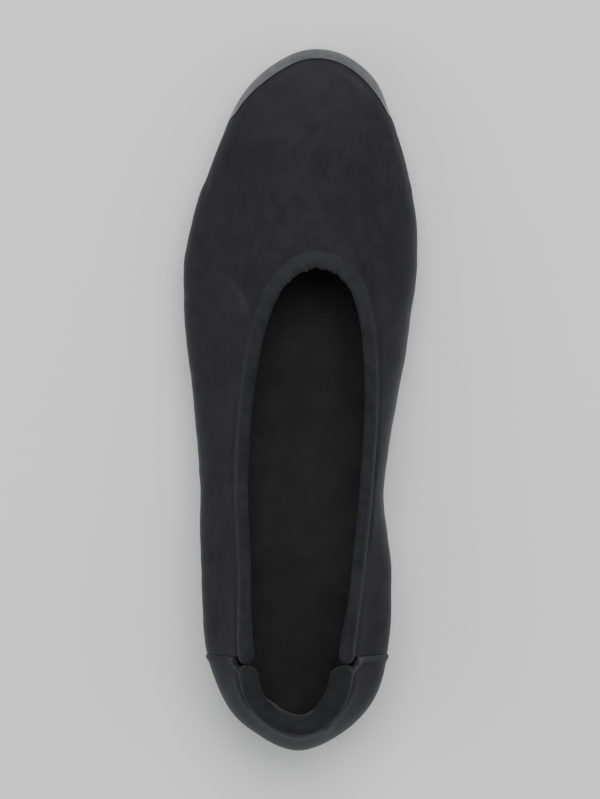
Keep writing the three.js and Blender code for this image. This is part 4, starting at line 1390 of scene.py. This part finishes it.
# %% Metal parts
def dress(names, material):
    """Give the frame's own solids a finish."""
    for name in names:
        node = bpy.data.objects[name]
        node.data.materials.clear()
        node.data.materials.append(material)
    print(f"{material.name}: {', '.join(names)}")


dress(["shank"] + [f"heel_nail_{n}" for n in range(1, 5)], STEEL)
dress(["shank_rivet_rear", "shank_rivet_front"], BRASS)

# %% [markdown]
# ## Floor and light
# A pale seamless floor and three large soft lights, one above and one at each side, keep every edge
# readable. Black suede under a small light would only show its highlights.

# %% Studio
FLOOR_REACH = 4.0
FLOOR_GREY = (0.78, 0.78, 0.77)
AIR_COLOUR = (0.95, 0.97, 1.0, 1)
AIR_STRENGTH = 0.45


def studio():
    """The floor, and a faint bluish light from all round."""
    floor_mesh = bpy.data.meshes.new("floor")
    ways = [(-1, -1), (1, -1), (1, 1), (-1, 1)]
    corners = [(FLOOR_REACH * x, FLOOR_REACH * y, 0) for x, y in ways]
    floor_mesh.from_pydata(corners, [], [(0, 1, 2, 3)])
    floor = bpy.data.objects.new("floor", floor_mesh)
    bpy.context.scene.collection.objects.link(floor)
    floor_mesh.materials.append(finish("floor_paper", FLOOR_GREY, 0.9)[0])
    floor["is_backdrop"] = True
    world = bpy.data.worlds.new("studio_air")
    world.use_nodes = True
    air = world.node_tree.nodes["Background"]
    air.inputs["Color"].default_value = AIR_COLOUR
    air.inputs["Strength"].default_value = AIR_STRENGTH
    bpy.context.scene.world = world


def softbox(name, place_at, size, power):
    """A rectangular light that faces the slipper. Its power is in watts."""
    data = bpy.data.lights.new(name, "AREA")
    data.shape = "RECTANGLE"
    data.size, data.size_y = size
    data.energy = power
    light = bpy.data.objects.new(name, data)
    light.location = place_at
    aim = np.array([0.0, 0.0, 0.02]) - np.array(place_at)
    light.rotation_euler = mathutils.Vector(aim).to_track_quat("-Z", "Y").to_euler()
    bpy.context.scene.collection.objects.link(light)
    light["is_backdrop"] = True
    print(f"{name}: {power} W")


studio()
softbox("top_light", (0.15, 0.75, 1.9), (1.6, 1.1), 34)
softbox("side_light", (-1.3, -0.3, 1.1), (1.2, 1.2), 9)
softbox("other_side_light", (1.3, -0.2, 1.1), (1.2, 1.2), 6)

# %% [markdown]
# ## The finished size
# The frame's box was measured as soon as it was loaded. The last cell measures the finished model's
# box and prints its size.

# %% Sizes and finish
seen_low, seen_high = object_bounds()
seen_size = (seen_high - seen_low) / MM
print(f"finished slipper {seen_size.x:.1f} mm wide, {seen_size.y:.1f} long, {seen_size.z:.1f} high")
